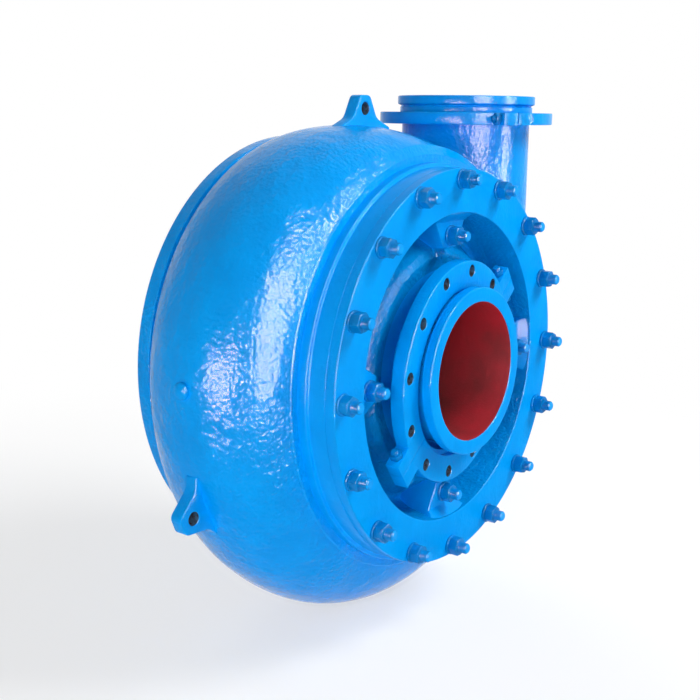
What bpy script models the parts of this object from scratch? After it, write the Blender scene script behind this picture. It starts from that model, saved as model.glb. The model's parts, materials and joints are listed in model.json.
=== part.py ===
"""Wet end of a single-casing slurry pump: one object per piece, in metres, +Z up.

World axes: the shaft runs along Y with the suction at -Y, and the discharge rises at +X.
The origin is on the shaft axis, on the rear seat of the rear cover.
Turned pieces are written in a front view: x to the right, y up, z forward from the rear seat.
"""
import math

import bmesh
import bpy
from mathutils import Matrix, Vector

MM = 0.001

# Clearances
fit_gap = 0.3 * MM
running_gap = 2.0 * MM
slip_gap = 0.5 * MM
hang_gap = 1.2 * MM
blind_gap = 1.0 * MM
impeller_gap = 6.0 * MM

# Shaft line and rear end
shaft_radius = 50 * MM
shaft_stub = 235 * MM
shaft_step = 12 * MM
sleeve_wall = 14.7 * MM
packing_width = 19.4 * MM
packing_height = 18 * MM
packing_count = 3
lantern_height = 20 * MM
box_wall = 25 * MM
box_length = 72 * MM
box_flange_width = 54.7 * MM
box_flange_thickness = 22 * MM
gland_gap = 4 * MM
gland_stroke = 12 * MM
gland_thickness = 20 * MM
gland_stud_radius = 8 * MM
gland_nut_height = 14 * MM

# Casing
rear_plate_rim = 16 * MM
rear_plate_thickness = 36 * MM
rear_relief = 2 * MM
rear_seat_edge = 28 * MM
casing_depth = 416 * MM
casing_wall = 32 * MM
front_collar_depth = 40 * MM
shoulder_width = 7 * MM
shoulder_depth = 20 * MM
shoulder_blend = 1 * MM
rear_collar_width = 41 * MM
rear_collar_depth = 25 * MM
volute_growth = 108 * MM
volute_narrowing = 105 * MM
rear_opening_step = 1.6 * MM
rear_spigot_depth = 48 * MM
round_steps = 56
section_steps = 10

# Front cover
cover_thickness = 24 * MM
ring_width = 93.4 * MM
recess_depth = 105 * MM
recess_slope = 23.6 * MM
valley_width = 22 * MM
hub_slope = 40 * MM
hub_margin = 7.5 * MM
hub_setback = 46 * MM
cover_plate_wall = 25 * MM
spigot_wall = 16 * MM
boss_setback = 25 * MM
boss_start = 10 * MM
boss_face_length = 55 * MM
boss_inner_half_width = 26 * MM
boss_flare = 0.56
boss_stud_edge = 29 * MM

# Suction side
suction_bore = 300 * MM
suction_wall = 15 * MM
suction_lip_width = 16 * MM
suction_lip_thickness = 22 * MM
suction_lip_reach = 52.6 * MM
loose_flange_play = 8.5 * MM
loose_flange_width = 69 * MM
loose_flange_thickness = 31 * MM
loose_flange_setback = 4.5 * MM
loose_flange_recess_play = 2.6 * MM
loose_flange_recess_depth = 15 * MM
loose_flange_holes = 12
loose_flange_hole_edge = 22.5 * MM
loose_flange_hole_radius = 13 * MM
loose_flange_swing = math.radians(4.0)
loose_flange_lean = math.radians(1.7)
loose_flange_turn = math.radians(-52)
ear_reach = 48 * MM
ear_width = 35 * MM
suction_split_gap = 0.8 * MM
discharge_split_gap = 3 * MM
clamp_bolt_radius = 8 * MM
clamp_flats = 24 * MM
clamp_head_height = 11 * MM
clamp_nut_height = 13 * MM
clamp_tip = 7 * MM

# Discharge side
discharge_inset = 160 * MM
discharge_bore = 260 * MM
discharge_wall = 28 * MM
discharge_rise = 4 * MM
discharge_lip_width = 11.5 * MM
discharge_lip_thickness = 24 * MM
discharge_collar_width = 5.5 * MM
discharge_collar_height = 17 * MM
discharge_flange_width = 55 * MM
discharge_flange_thickness = 28 * MM
discharge_flange_recess_depth = 2 * MM
discharge_flange_holes = 12
discharge_flange_hole_edge = 25 * MM
discharge_flange_hole_radius = 11 * MM
discharge_flange_turn = math.radians(58.6)

# Wet parts
impeller_margin = 33.6 * MM
impeller_front_gap = 9.4 * MM
shroud_thickness = 20 * MM
vane_count = 4
vane_thickness = 26 * MM
vane_wrap = math.radians(95)
hub_boss_wall = 42 * MM
liner_thickness = 30 * MM

# Fasteners
stud_radius = 12 * MM
stud_count = 16
stud_edge = 23 * MM
rear_stud_count = 8
rear_stud_edge = 45 * MM
stud_reach = 46 * MM
stud_grip = 30 * MM
nut_flats = 38 * MM
nut_height = 21 * MM
washer_radius = 23 * MM
washer_thickness = 5 * MM
stud_sides = 12

# Lifting lugs and plug
lug_thickness = 30 * MM
lug_hole_radius = 14 * MM
top_lug_offset = -24 * MM
side_lug_turn = math.radians(112.5)
plug_head_radius = 14 * MM
plug_stem_radius = 9 * MM
plug_turn = math.radians(88)

# Derived places along the shaft, forward of the rear seat
casing_back = rear_plate_thickness
casing_front = casing_back + casing_depth
face_place = casing_front + cover_thickness
volute_front = casing_front - front_collar_depth - shoulder_depth - shoulder_blend
volute_back = casing_back + rear_collar_depth
middle_place = (volute_front + volute_back) / 2
volute_half_width = (volute_front - volute_back) / 2
rear_spigot_place = casing_back + rear_spigot_depth
cover_inner_place = face_place - recess_depth - cover_plate_wall
front_liner_place = cover_inner_place - fit_gap
rear_liner_place = rear_spigot_place + fit_gap
impeller_back = rear_liner_place + liner_thickness + impeller_gap
impeller_front = front_liner_place - liner_thickness - impeller_front_gap

# Radii, from the suction outward
neck_radius = suction_bore / 2 + suction_wall
suction_lip_radius = neck_radius + suction_lip_width
loose_flange_bore = neck_radius + loose_flange_play
loose_flange_recess = suction_lip_radius + loose_flange_recess_play
loose_flange_radius = loose_flange_bore + loose_flange_width
loose_flange_hole_circle = loose_flange_radius - loose_flange_hole_edge
hub_radius = loose_flange_radius + hub_margin
boss_inner_radius = hub_radius + boss_start
boss_outer_radius = boss_inner_radius + boss_face_length
boss_stud_circle = boss_outer_radius - boss_stud_edge
valley_inner_radius = hub_radius + hub_slope
valley_outer_radius = valley_inner_radius + valley_width
recess_radius = valley_outer_radius + recess_slope
spigot_radius = recess_radius + spigot_wall
rear_opening_radius = spigot_radius - rear_opening_step
front_collar_radius = recess_radius + ring_width
stud_circle = front_collar_radius - stud_edge
shoulder_radius = front_collar_radius + shoulder_width
rear_collar_radius = front_collar_radius + rear_collar_width
rear_plate_radius = rear_collar_radius + rear_plate_rim
rear_stud_circle = rear_collar_radius - rear_stud_edge
volute_radius = rear_collar_radius + volute_growth
impeller_radius = spigot_radius - impeller_margin
eye_radius = suction_bore / 2

# Discharge
discharge_offset = volute_radius - discharge_inset
discharge_height = volute_radius + discharge_rise
pipe_radius = discharge_bore / 2 + discharge_wall
discharge_lip_radius = pipe_radius + discharge_lip_width
discharge_collar_radius = pipe_radius + discharge_collar_width
discharge_flange_radius = pipe_radius + discharge_flange_width
discharge_flange_hole_circle = discharge_flange_radius - discharge_flange_hole_edge
collar_base = discharge_height - discharge_lip_thickness - discharge_collar_height

# Seal and shaft
shaft_step_radius = shaft_radius + shaft_step
hub_boss_radius = shaft_radius + hub_boss_wall
sleeve_radius = shaft_radius + fit_gap + sleeve_wall
packing_outer = sleeve_radius + 2 * fit_gap + packing_width
box_bore = packing_outer + fit_gap
box_radius = box_bore + box_wall
box_flange_radius = box_radius + box_flange_width


def make_collection(name, parent):
    """Return a new collection inside another one."""
    collection = bpy.data.collections.new(name)
    parent.children.link(collection)
    return collection


def make_empty(name, place, turn, parent=None):
    """Return an empty that carries the pieces of one joint."""
    empty = bpy.data.objects.new(name, None)
    empty.location = place
    empty.rotation_euler = turn
    empty.parent = parent
    empty.empty_display_size = 0.1
    pump.objects.link(empty)
    return empty


def make_material(name, colour, roughness, metallic):
    """Return a Principled material."""
    material = bpy.data.materials.new(name)
    material.use_nodes = True
    shader = material.node_tree.nodes["Principled BSDF"]
    shader.inputs["Base Color"].default_value = (*colour, 1.0)
    shader.inputs["Roughness"].default_value = roughness
    shader.inputs["Metallic"].default_value = metallic
    return material


def blue_paint(name):
    """Gloss enamel of the castings."""
    return make_material(name + "_paint", (0.0, 0.33, 0.93), 0.25, 0.0)


def bare_iron(name):
    """Hard white iron of the wet parts."""
    return make_material(name + "_iron", (0.30, 0.29, 0.28), 0.5, 0.9)


def bright_steel(name):
    """Turned steel of the shaft line."""
    return make_material(name + "_steel", (0.55, 0.55, 0.56), 0.3, 1.0)


def finish_object(name, mesh, parent, material=None):
    """Link a piece, or a tool if it has no material."""
    piece = bpy.data.objects.new(name, mesh)
    piece.parent = parent
    if material:
        mesh.materials.append(material)
        pump.objects.link(piece)
    else:
        tools.objects.link(piece)
        piece.display_type = "WIRE"
        piece.hide_render = True
    return piece


def mesh_from(bm, name):
    """Turn a bmesh into a mesh whose faces look outward."""
    bmesh.ops.recalc_face_normals(bm, faces=bm.faces)
    mesh = bpy.data.meshes.new(name)
    bm.to_mesh(mesh)
    bm.free()
    return mesh


def turned(name, profile, steps, parent, material=None, closed=True):
    """A profile of (radius, z) points, spun round the z axis with a Screw modifier."""
    bm = bmesh.new()
    points = [bm.verts.new((radius, 0, z)) for radius, z in profile]
    for start, end in zip(points, points[1:]):
        bm.edges.new((start, end))
    if closed:
        bm.edges.new((points[-1], points[0]))
    mesh = bpy.data.meshes.new(name)
    bm.to_mesh(mesh)
    bm.free()
    piece = finish_object(name, mesh, parent, material)
    screw = piece.modifiers.new("turn", "SCREW")
    screw.axis = "Z"
    screw.steps = steps
    screw.render_steps = steps
    screw.use_merge_vertices = True
    screw.merge_threshold = 0.00001
    screw.use_smooth_shade = False
    return piece


def add_cylinder(bm, radius, low, high, centre=(0, 0), sides=24, axis="Z"):
    """Add a capped cylinder between two heights along an axis, centred at the other two."""
    place = Matrix.Translation((*centre, (low + high) / 2))
    if axis == "Y":
        place = Matrix.Rotation(-math.pi / 2, 4, "X") @ place
    if axis == "X":
        place = Matrix.Rotation(math.pi / 2, 4, "Y") @ place
    bmesh.ops.create_cone(bm, cap_ends=True, segments=sides, radius1=radius, radius2=radius,
                          depth=high - low, matrix=place)


def add_prism(bm, outline, low, high):
    """Add a flat outline of (x, y) points, pulled up between two heights."""
    base = bm.faces.new([bm.verts.new((x, y, low)) for x, y in outline])
    raised = bmesh.ops.extrude_face_region(bm, geom=[base])["geom"]
    moved = [part for part in raised if isinstance(part, bmesh.types.BMVert)]
    bmesh.ops.translate(bm, verts=moved, vec=(0, 0, high - low))


def circle_places(radius, count, first=0.0):
    """The (x, y) points of a bolt circle, clockwise from the top in the front view."""
    angles = [first + 2 * math.pi * number / count for number in range(count)]
    return [(radius * math.sin(angle), radius * math.cos(angle)) for angle in angles]


def holes_tool(name, hole_sets, parent, sides=12):
    """One tool object with a cylinder at each place of each (places, radius, low, high) set."""
    bm = bmesh.new()
    for places, radius, low, high in hole_sets:
        for place in places:
            add_cylinder(bm, radius, low, high, place, sides)
    return finish_object(name, mesh_from(bm, name), parent)


def join(piece, tool, operation="UNION"):
    """Add a live exact Boolean."""
    change = piece.modifiers.new(tool.name, "BOOLEAN")
    change.operation = operation
    change.solver = "EXACT"
    change.object = tool
    return piece


def cut(piece, tool):
    """Take a tool out of a piece."""
    return join(piece, tool, "DIFFERENCE")


def change_with_all(piece, name, tool_pieces, operation):
    """Add one live exact Boolean with several tools at once."""
    group = make_collection(name, tools)
    for tool in tool_pieces:
        tools.objects.unlink(tool)
        group.objects.link(tool)
    change = piece.modifiers.new(name, "BOOLEAN")
    change.operation = operation
    change.solver = "EXACT"
    change.operand_type = "COLLECTION"
    change.collection = group


def fastener_mesh(name, stations, sides=stud_sides):
    """A bolt, stud or nut from (size, z, hexagonal) stations; a hexagon's size is its half flats."""
    bm = bmesh.new()
    rows = []
    for size, z, hexagonal in stations:
        row = []
        for side in range(sides):
            angle = 2 * math.pi * side / sides
            reach = size
            if hexagonal:
                off_flat = (angle % (math.pi / 3)) - math.pi / 6
                reach = size / math.cos(off_flat)
            row.append(bm.verts.new((reach * math.cos(angle), reach * math.sin(angle), z)))
        rows.append(row)
    for lower, upper in zip(rows, rows[1:]):
        for side in range(sides):
            after = (side + 1) % sides
            bm.faces.new((lower[side], lower[after], upper[after], upper[side]))
    bm.faces.new(rows[0])
    bm.faces.new(rows[-1])
    return mesh_from(bm, name)


def stud_stations(seat, grip, washer=True):
    """Stations of a stud with its nut, seated at one height and sunk below it."""
    base = seat + fit_gap
    nut_base = base + (washer_thickness if washer else 0)
    top = nut_base + nut_height
    stations = [(stud_radius, seat - grip, False), (stud_radius, base, False)]
    if washer:
        stations += [(washer_radius, base, False), (washer_radius, nut_base, False)]
    stations += [(nut_flats / 2, nut_base, True), (nut_flats / 2, top, True)]
    stations += [(stud_radius, top, False), (stud_radius, seat + stud_reach, False)]
    return stations


def make_stud(name, place, seat, grip, parent, washer=True):
    """One stud with its nut, as one solid."""
    mesh = fastener_mesh(name, stud_stations(seat, grip, washer))
    stud = finish_object(name, mesh, parent, blue_paint(name))
    stud.location = (*place, 0)
    return stud


def ease(value):
    """Smooth step from 0 to 1."""
    value = min(max(value, 0.0), 1.0)
    return value * value * (3 - 2 * value)


def volute_reach(turn):
    """Outer radius of the volute; turn runs against the clock from the top in the front view."""
    degrees = math.degrees(turn)
    if degrees >= 300:
        degrees -= 360
    reach = volute_radius - volute_narrowing * ease((90 - degrees) / 150)
    if degrees > 270:
        reach -= volute_narrowing * ease((degrees - 270) / 30)
    return reach


def volute_section(turn, front_base, rear_base, wall):
    """The bulge of the casing as (radius, z) points, from the front base round to the rear base."""
    reach = volute_reach(turn) - wall
    half_width = volute_half_width - wall * 0.9
    points = []
    for step in range(section_steps + 1):
        swing = math.pi * step / section_steps
        share = step / section_steps
        base = front_base + (rear_base - front_base) * share
        radius = base + (reach - base) * math.sin(swing) ** 0.92
        points.append((radius, middle_place + half_width * math.cos(swing)))
    return points


def casing_outside(turn):
    """Outer section of the casing with its collars."""
    shoulder_front = casing_front - front_collar_depth
    bulge = volute_section(turn, shoulder_radius + 4 * MM, rear_collar_radius, 0)
    rows = [(front_collar_radius, casing_front), (front_collar_radius, shoulder_front)]
    rows += [(shoulder_radius, shoulder_front), (shoulder_radius, shoulder_front - shoulder_depth)]
    rows += bulge
    rows += [(rear_collar_radius, casing_back)]
    return rows


def casing_inside(turn):
    """Inner section of the casing, open at the front and the rear."""
    mouth = spigot_radius + fit_gap
    bulge = volute_section(turn, mouth + 8 * MM, rear_opening_radius + 8 * MM, casing_wall)
    rows = [(mouth, casing_front + 20 * MM), (mouth, bulge[0][1] + 8 * MM)]
    rows += bulge
    rows += [(rear_opening_radius + fit_gap, bulge[-1][1] - 8 * MM)]
    rows += [(rear_opening_radius + fit_gap, casing_back - 20 * MM)]
    return rows


def lofted(name, section, steps, parent, material=None):
    """A solid whose section changes as it goes round the shaft."""
    bm = bmesh.new()
    rows = []
    for step in range(steps):
        turn = 2 * math.pi * step / steps
        rows.append([bm.verts.new((-radius * math.sin(turn), radius * math.cos(turn), z))
                     for radius, z in section(turn)])
    for step, row in enumerate(rows):
        after = rows[(step + 1) % steps]
        for point in range(len(row) - 1):
            bm.faces.new((row[point], after[point], after[point + 1], row[point + 1]))
    bm.faces.new([row[0] for row in rows])
    bm.faces.new([row[-1] for row in rows])
    return finish_object(name, mesh_from(bm, name), parent, material)


def lug_outline(base_radius, tip_radius, half_base, half_tip):
    """A lifting lug seen from the front, standing up from the volute."""
    root = base_radius - 30 * MM
    return [(-half_base, root), (half_base, root), (half_tip, tip_radius), (-half_tip, tip_radius)]


def make_lug(name, turn, offset, half_base, half_tip, height, hole_height):
    """Lug tool, turned round the shaft, and the place of its hole."""
    reach = volute_reach(turn)
    bm = bmesh.new()
    outline = lug_outline(reach, reach + height, half_base, half_tip)
    add_prism(bm, [(x + offset, y) for x, y in outline], middle_place - lug_thickness / 2,
              middle_place + lug_thickness / 2)
    lug = finish_object(name, mesh_from(bm, name), front_view)
    lug.rotation_euler = (0, 0, turn)
    hole = Matrix.Rotation(turn, 2) @ Vector((offset, reach + hole_height))
    return lug, hole


def make_casing():
    """Volute casing with its discharge pipe, lugs, stud holes and plug hole."""
    casing = lofted("volute_casing", casing_outside, round_steps, front_view,
                    blue_paint("casing"))
    lip_base = discharge_height - discharge_lip_thickness
    pipe = turned("discharge_pipe_tool", [
        (0, discharge_height), (discharge_lip_radius, discharge_height),
        (discharge_lip_radius, lip_base + 4 * MM), (pipe_radius + 2 * MM, lip_base),
        (discharge_collar_radius, collar_base + 2 * MM), (discharge_collar_radius, collar_base),
        (pipe_radius, collar_base), (pipe_radius, 0), (0, 0)], 48, discharge_axis, closed=False)
    top_lug, top_hole = make_lug("top_lug_tool", 0, top_lug_offset, 68 * MM, 17.5 * MM,
                                 67 * MM, 38 * MM)
    side_lug, side_hole = make_lug("side_lug_tool", side_lug_turn, 0, 68 * MM, 20 * MM,
                                   67 * MM, 36 * MM)
    change_with_all(casing, "casing_joined_tools", [pipe, top_lug, side_lug], "UNION")
    cavity = lofted("casing_cavity_tool", casing_inside, round_steps, front_view)
    bore = holes_tool("discharge_bore_tool", [
        ([(0, 0)], discharge_bore / 2, 60 * MM, discharge_height + 40 * MM)], discharge_axis, 48)
    hole_radius = stud_radius + fit_gap
    holes = holes_tool("casing_holes_tool", [
        (circle_places(stud_circle, stud_count), hole_radius,
         casing_front - stud_grip - blind_gap, casing_front + 10 * MM),
        (circle_places(rear_stud_circle, rear_stud_count, math.pi / 8), hole_radius,
         casing_back - 10 * MM, casing_back + stud_grip + blind_gap),
        ([top_hole, side_hole], lug_hole_radius, middle_place - lug_thickness,
         middle_place + lug_thickness)], front_view)
    plug_hole = holes_tool("plug_hole_tool", [
        ([(0, 0)], plug_stem_radius + fit_gap, -18 * MM, 30 * MM)], plug_axis, 16)
    change_with_all(casing, "casing_cut_tools", [cavity, bore, holes, plug_hole], "DIFFERENCE")
    return casing


def make_plug():
    """Domed plug on the left of the volute."""
    head = 9 * MM
    turned("casing_plug", [
        (0, head), (plug_head_radius * 0.6, head * 0.85), (plug_head_radius, head * 0.35),
        (plug_head_radius, 1.2 * MM), (plug_stem_radius, 1.2 * MM),
        (plug_stem_radius, -16 * MM), (0, -16 * MM)], 16, plug_axis, blue_paint("plug"),
        closed=False)


def make_front_cover():
    """Ring, recess, hub and bosses of the front cover, cast in one."""
    bore = neck_radius + fit_gap
    face = face_place
    valley = face - recess_depth
    hub_place = face - hub_setback
    cover = turned("front_cover", [
        (bore, hub_place - 8 * MM), (hub_radius - 40 * MM, hub_place - 4 * MM),
        (hub_radius - 8 * MM, hub_place + 2 * MM), (hub_radius + 8 * MM, hub_place - 6 * MM),
        (valley_inner_radius, valley + 6 * MM), (valley_inner_radius + 8 * MM, valley),
        (valley_outer_radius, valley), (recess_radius - recess_slope / 2, valley + 30 * MM),
        (recess_radius, face), (front_collar_radius, face),
        (front_collar_radius, casing_front + fit_gap), (spigot_radius, casing_front + fit_gap),
        (spigot_radius, cover_inner_place),
        (bore, cover_inner_place)][::-1], round_steps, front_view, blue_paint("cover"))
    for number in range(4):
        join(cover, make_boss(number))
    hole_radius = stud_radius + fit_gap
    cut(cover, holes_tool("cover_holes_tool", [
        (circle_places(stud_circle, stud_count), hole_radius, casing_front - 20 * MM,
         face + 20 * MM),
        (circle_places(boss_stud_circle, 4), hole_radius,
         face - boss_setback - stud_grip - blind_gap, face + 20 * MM)], front_view))
    return cover


def make_boss(number):
    """A boss that stands in the recess and widens toward the ring."""
    face = face_place - boss_setback
    root = face_place - recess_depth - 10 * MM
    profile = [(boss_inner_radius - 12 * MM, root), (boss_inner_radius, face),
               (boss_outer_radius, face), (recess_radius - 2 * MM, face_place - 4 * MM),
               (recess_radius + spigot_wall / 2, face_place - 4 * MM),
               (recess_radius + spigot_wall / 2, root)]
    bm = bmesh.new()
    sides = []
    for hand in (-1, 1):
        row = []
        for radius, z in profile:
            half_width = boss_inner_half_width + boss_flare * (radius - boss_inner_radius)
            row.append(bm.verts.new((hand * half_width, radius, z)))
        sides.append(row)
        bm.faces.new(row)
    count = len(profile)
    for point in range(count):
        after = (point + 1) % count
        bm.faces.new((sides[0][point], sides[0][after], sides[1][after], sides[1][point]))
    name = "boss_tool_" + str(number + 1)
    boss = finish_object(name, mesh_from(bm, name), front_view)
    boss.rotation_euler = (0, 0, -number * math.pi / 2)
    return boss


def make_suction_pipe():
    """Short inlet pipe with its raised lip."""
    lip_face = face_place + suction_lip_reach
    lip_back = lip_face - suction_lip_thickness
    bore = suction_bore / 2
    turned("suction_pipe", [
        (bore, lip_face), (suction_lip_radius - 3 * MM, lip_face),
        (suction_lip_radius, lip_face - 3 * MM), (suction_lip_radius, lip_back),
        (neck_radius, lip_back - 6 * MM), (neck_radius, cover_inner_place + fit_gap),
        (bore, cover_inner_place + fit_gap)], round_steps, front_view, blue_paint("suction_pipe"))


def make_liners():
    """Front and rear wear plates on the two sides of the impeller."""
    turned("front_liner", [
        (eye_radius, front_liner_place), (spigot_radius - fit_gap, front_liner_place),
        (spigot_radius - fit_gap, front_liner_place - liner_thickness + 4 * MM),
        (spigot_radius - 5 * MM, front_liner_place - liner_thickness),
        (eye_radius + 6 * MM, front_liner_place - liner_thickness),
        (eye_radius, front_liner_place - liner_thickness + 6 * MM)], 36, front_view,
        bare_iron("front_liner"))
    bore = sleeve_radius + running_gap
    turned("rear_liner", [
        (bore, rear_liner_place + liner_thickness),
        (rear_opening_radius - 5 * MM, rear_liner_place + liner_thickness),
        (rear_opening_radius - fit_gap, rear_liner_place + liner_thickness - 4 * MM),
        (rear_opening_radius - fit_gap, rear_liner_place), (bore, rear_liner_place)], 36,
        front_view, bare_iron("rear_liner"))


def make_rear_cover():
    """Rear plate with its spigot; its face is relieved round the studs and under the box flange."""
    bore = box_radius + fit_gap
    cover = turned("rear_cover", [
        (bore, rear_spigot_place), (rear_opening_radius, rear_spigot_place),
        (rear_opening_radius, casing_back - fit_gap), (rear_plate_radius, casing_back - fit_gap),
        (rear_plate_radius, 4 * MM), (rear_plate_radius - 4 * MM, 0),
        (rear_stud_circle + rear_seat_edge, 0), (rear_stud_circle + rear_seat_edge, rear_relief),
        (rear_stud_circle - rear_seat_edge, rear_relief), (rear_stud_circle - rear_seat_edge, 0),
        (box_flange_radius + 5 * MM, 0), (box_flange_radius + 5 * MM, rear_relief),
        (bore, rear_relief)], round_steps, front_view, blue_paint("rear_cover"))
    places = circle_places(rear_stud_circle, rear_stud_count, math.pi / 8)
    cut(cover, holes_tool("rear_cover_holes_tool", [
        (places, stud_radius + fit_gap, -20 * MM, casing_back + 20 * MM)], front_view))
    return cover


def make_seal():
    """Stuffing box with its lantern ring, packing, gland, gland studs and nuts."""
    floor = rear_spigot_place - 30 * MM
    rim = -box_length
    box_seat = rear_relief - fit_gap
    rim_radius = box_radius + 32 * MM
    stud_place = box_radius + 15 * MM
    places = circle_places(stud_place, 2, math.pi / 2)
    box = turned("stuffing_box", [
        (sleeve_radius + running_gap, rear_spigot_place), (box_radius, rear_spigot_place),
        (box_radius, box_seat), (box_flange_radius, box_seat),
        (box_flange_radius, -box_flange_thickness), (box_radius, -box_flange_thickness),
        (box_radius, rim + 18 * MM), (rim_radius, rim + 18 * MM), (rim_radius, rim),
        (box_bore, rim), (box_bore, floor), (sleeve_radius + running_gap, floor)], 24,
        front_view, blue_paint("stuffing_box"))
    cut(box, holes_tool("gland_stud_holes_tool", [
        (places, gland_stud_radius + fit_gap, rim - 10 * MM, rim + 16 * MM)], front_view))
    inner = sleeve_radius + 2 * fit_gap
    level = floor - fit_gap
    turned("lantern_ring", [
        (inner, level), (packing_outer, level), (packing_outer, level - 5 * MM),
        (packing_outer - 6 * MM, level - 5 * MM),
        (packing_outer - 6 * MM, level - lantern_height + 5 * MM),
        (packing_outer, level - lantern_height + 5 * MM), (packing_outer, level - lantern_height),
        (inner, level - lantern_height)], 24, front_view, bright_steel("lantern_ring"))
    level -= lantern_height + fit_gap
    for number in range(packing_count):
        turned("packing_ring_" + str(number + 1), [
            (inner, level), (packing_outer, level), (packing_outer, level - packing_height),
            (inner, level - packing_height)], 24, front_view,
            make_material("packing_" + str(number + 1), (0.10, 0.09, 0.08), 0.9, 0.0))
        level -= packing_height + fit_gap
    flange_front = rim - 6 * MM
    flange_back = flange_front - gland_thickness
    gland_bore = sleeve_radius + gland_gap
    gland = turned("packing_gland", [
        (gland_bore, level), (packing_outer, level), (packing_outer, flange_front),
        (rim_radius, flange_front), (rim_radius, flange_back), (gland_bore, flange_back)], 24,
        gland_axis, blue_paint("gland"))
    cut(gland, holes_tool("gland_holes_tool", [
        (places, gland_stud_radius + 1 * MM, flange_back - 10 * MM, flange_front + 10 * MM)],
        gland_axis))
    stud_end = flange_back - gland_nut_height - gland_stroke - 19 * MM
    for number, place in enumerate(places):
        mesh = fastener_mesh("gland_stud", [
            (gland_stud_radius, stud_end, False),
            (gland_stud_radius, rim + 14 * MM, False)])
        stud = finish_object("gland_stud_" + str(number + 1), mesh, front_view,
                             bright_steel("gland_stud"))
        stud.location = (*place, 0)
        nut_top = flange_back - fit_gap
        nut_bore = (gland_stud_radius + fit_gap) / math.cos(math.pi / 6)
        nut = turned("gland_nut_" + str(number + 1), [
            (nut_bore, nut_top), (15 * MM, nut_top), (15 * MM, nut_top - gland_nut_height),
            (nut_bore, nut_top - gland_nut_height)], 6, gland_axis, bright_steel("gland_nut"))
        nut.location = (*place, 0)


def make_shaft():
    """Shaft stub with its step and nose, and the sleeve that runs in the packing."""
    nose = impeller_back + 60 * MM
    turned("shaft", [
        (0, nose), (shaft_radius - 12 * MM, nose), (shaft_radius - 10 * MM, nose - 4 * MM),
        (shaft_radius - 10 * MM, impeller_back + 2 * MM), (shaft_radius, impeller_back),
        (shaft_radius, -box_length - 90 * MM), (shaft_step_radius, -box_length - 90 * MM),
        (shaft_step_radius, -shaft_stub + 4 * MM), (shaft_step_radius - 4 * MM, -shaft_stub),
        (0, -shaft_stub)], 24, rotor_axis, bright_steel("shaft"), closed=False)
    bore = shaft_radius + fit_gap
    turned("shaft_sleeve", [
        (bore, impeller_back - fit_gap), (sleeve_radius, impeller_back - fit_gap),
        (sleeve_radius, -box_length - 89 * MM), (bore, -box_length - 89 * MM)], 24,
        rotor_axis, bright_steel("shaft_sleeve"))


def vane_rows(first_angle):
    """The two sides of one vane as (x, y) points from the eye to the rim."""
    count = 9
    start = hub_boss_radius - 6 * MM
    end = impeller_radius - 2 * MM
    sides = ([], [])
    for step in range(count):
        share = step / (count - 1)
        radius = start + (end - start) * share
        angle = first_angle - vane_wrap * share ** 0.8
        half = vane_thickness * (0.35 + 0.65 * math.sin(math.pi * (0.12 + 0.7 * share))) / 2
        for hand in (0, 1):
            bend = angle + (1 - 2 * hand) * half / radius
            sides[hand].append((radius * math.cos(bend), radius * math.sin(bend)))
    return sides


def make_impeller():
    """Closed impeller: two shrouds, swept vanes and a hub that screws on the shaft."""
    back = impeller_back
    front = impeller_front
    bore = shaft_radius - 10 * MM + fit_gap
    impeller = turned("impeller", [
        (0, back + 78 * MM), (40 * MM, back + 74 * MM), (74 * MM, back + 56 * MM),
        (hub_boss_radius, back + 36 * MM), (hub_boss_radius + 34 * MM, back + shroud_thickness),
        (impeller_radius, back + shroud_thickness), (impeller_radius, back),
        (shaft_radius + 4 * MM, back), (bore, back + 3 * MM),
        (bore, back + 64 * MM), (0, back + 64 * MM)], 36, rotor_axis, bare_iron("impeller"),
        closed=False)
    shroud = turned("front_shroud_tool", [
        (eye_radius, front), (eye_radius + 16 * MM, front), (eye_radius + 26 * MM, front - 6 * MM),
        (impeller_radius, front - 6 * MM), (impeller_radius, front - 6 * MM - shroud_thickness),
        (eye_radius + 20 * MM, front - 8 * MM - shroud_thickness), (eye_radius, front - 14 * MM)],
        36, rotor_axis)
    for number in range(vane_count):
        bm = bmesh.new()
        low_side, high_side = vane_rows(2 * math.pi * number / vane_count)
        outline = low_side + high_side[::-1]
        add_prism(bm, outline, back + shroud_thickness - 6 * MM,
                  front - shroud_thickness + 2 * MM)
        name = "vane_tool_" + str(number + 1)
        join(impeller, finish_object(name, mesh_from(bm, name), rotor_axis))
    join(impeller, shroud)
    return impeller


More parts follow.
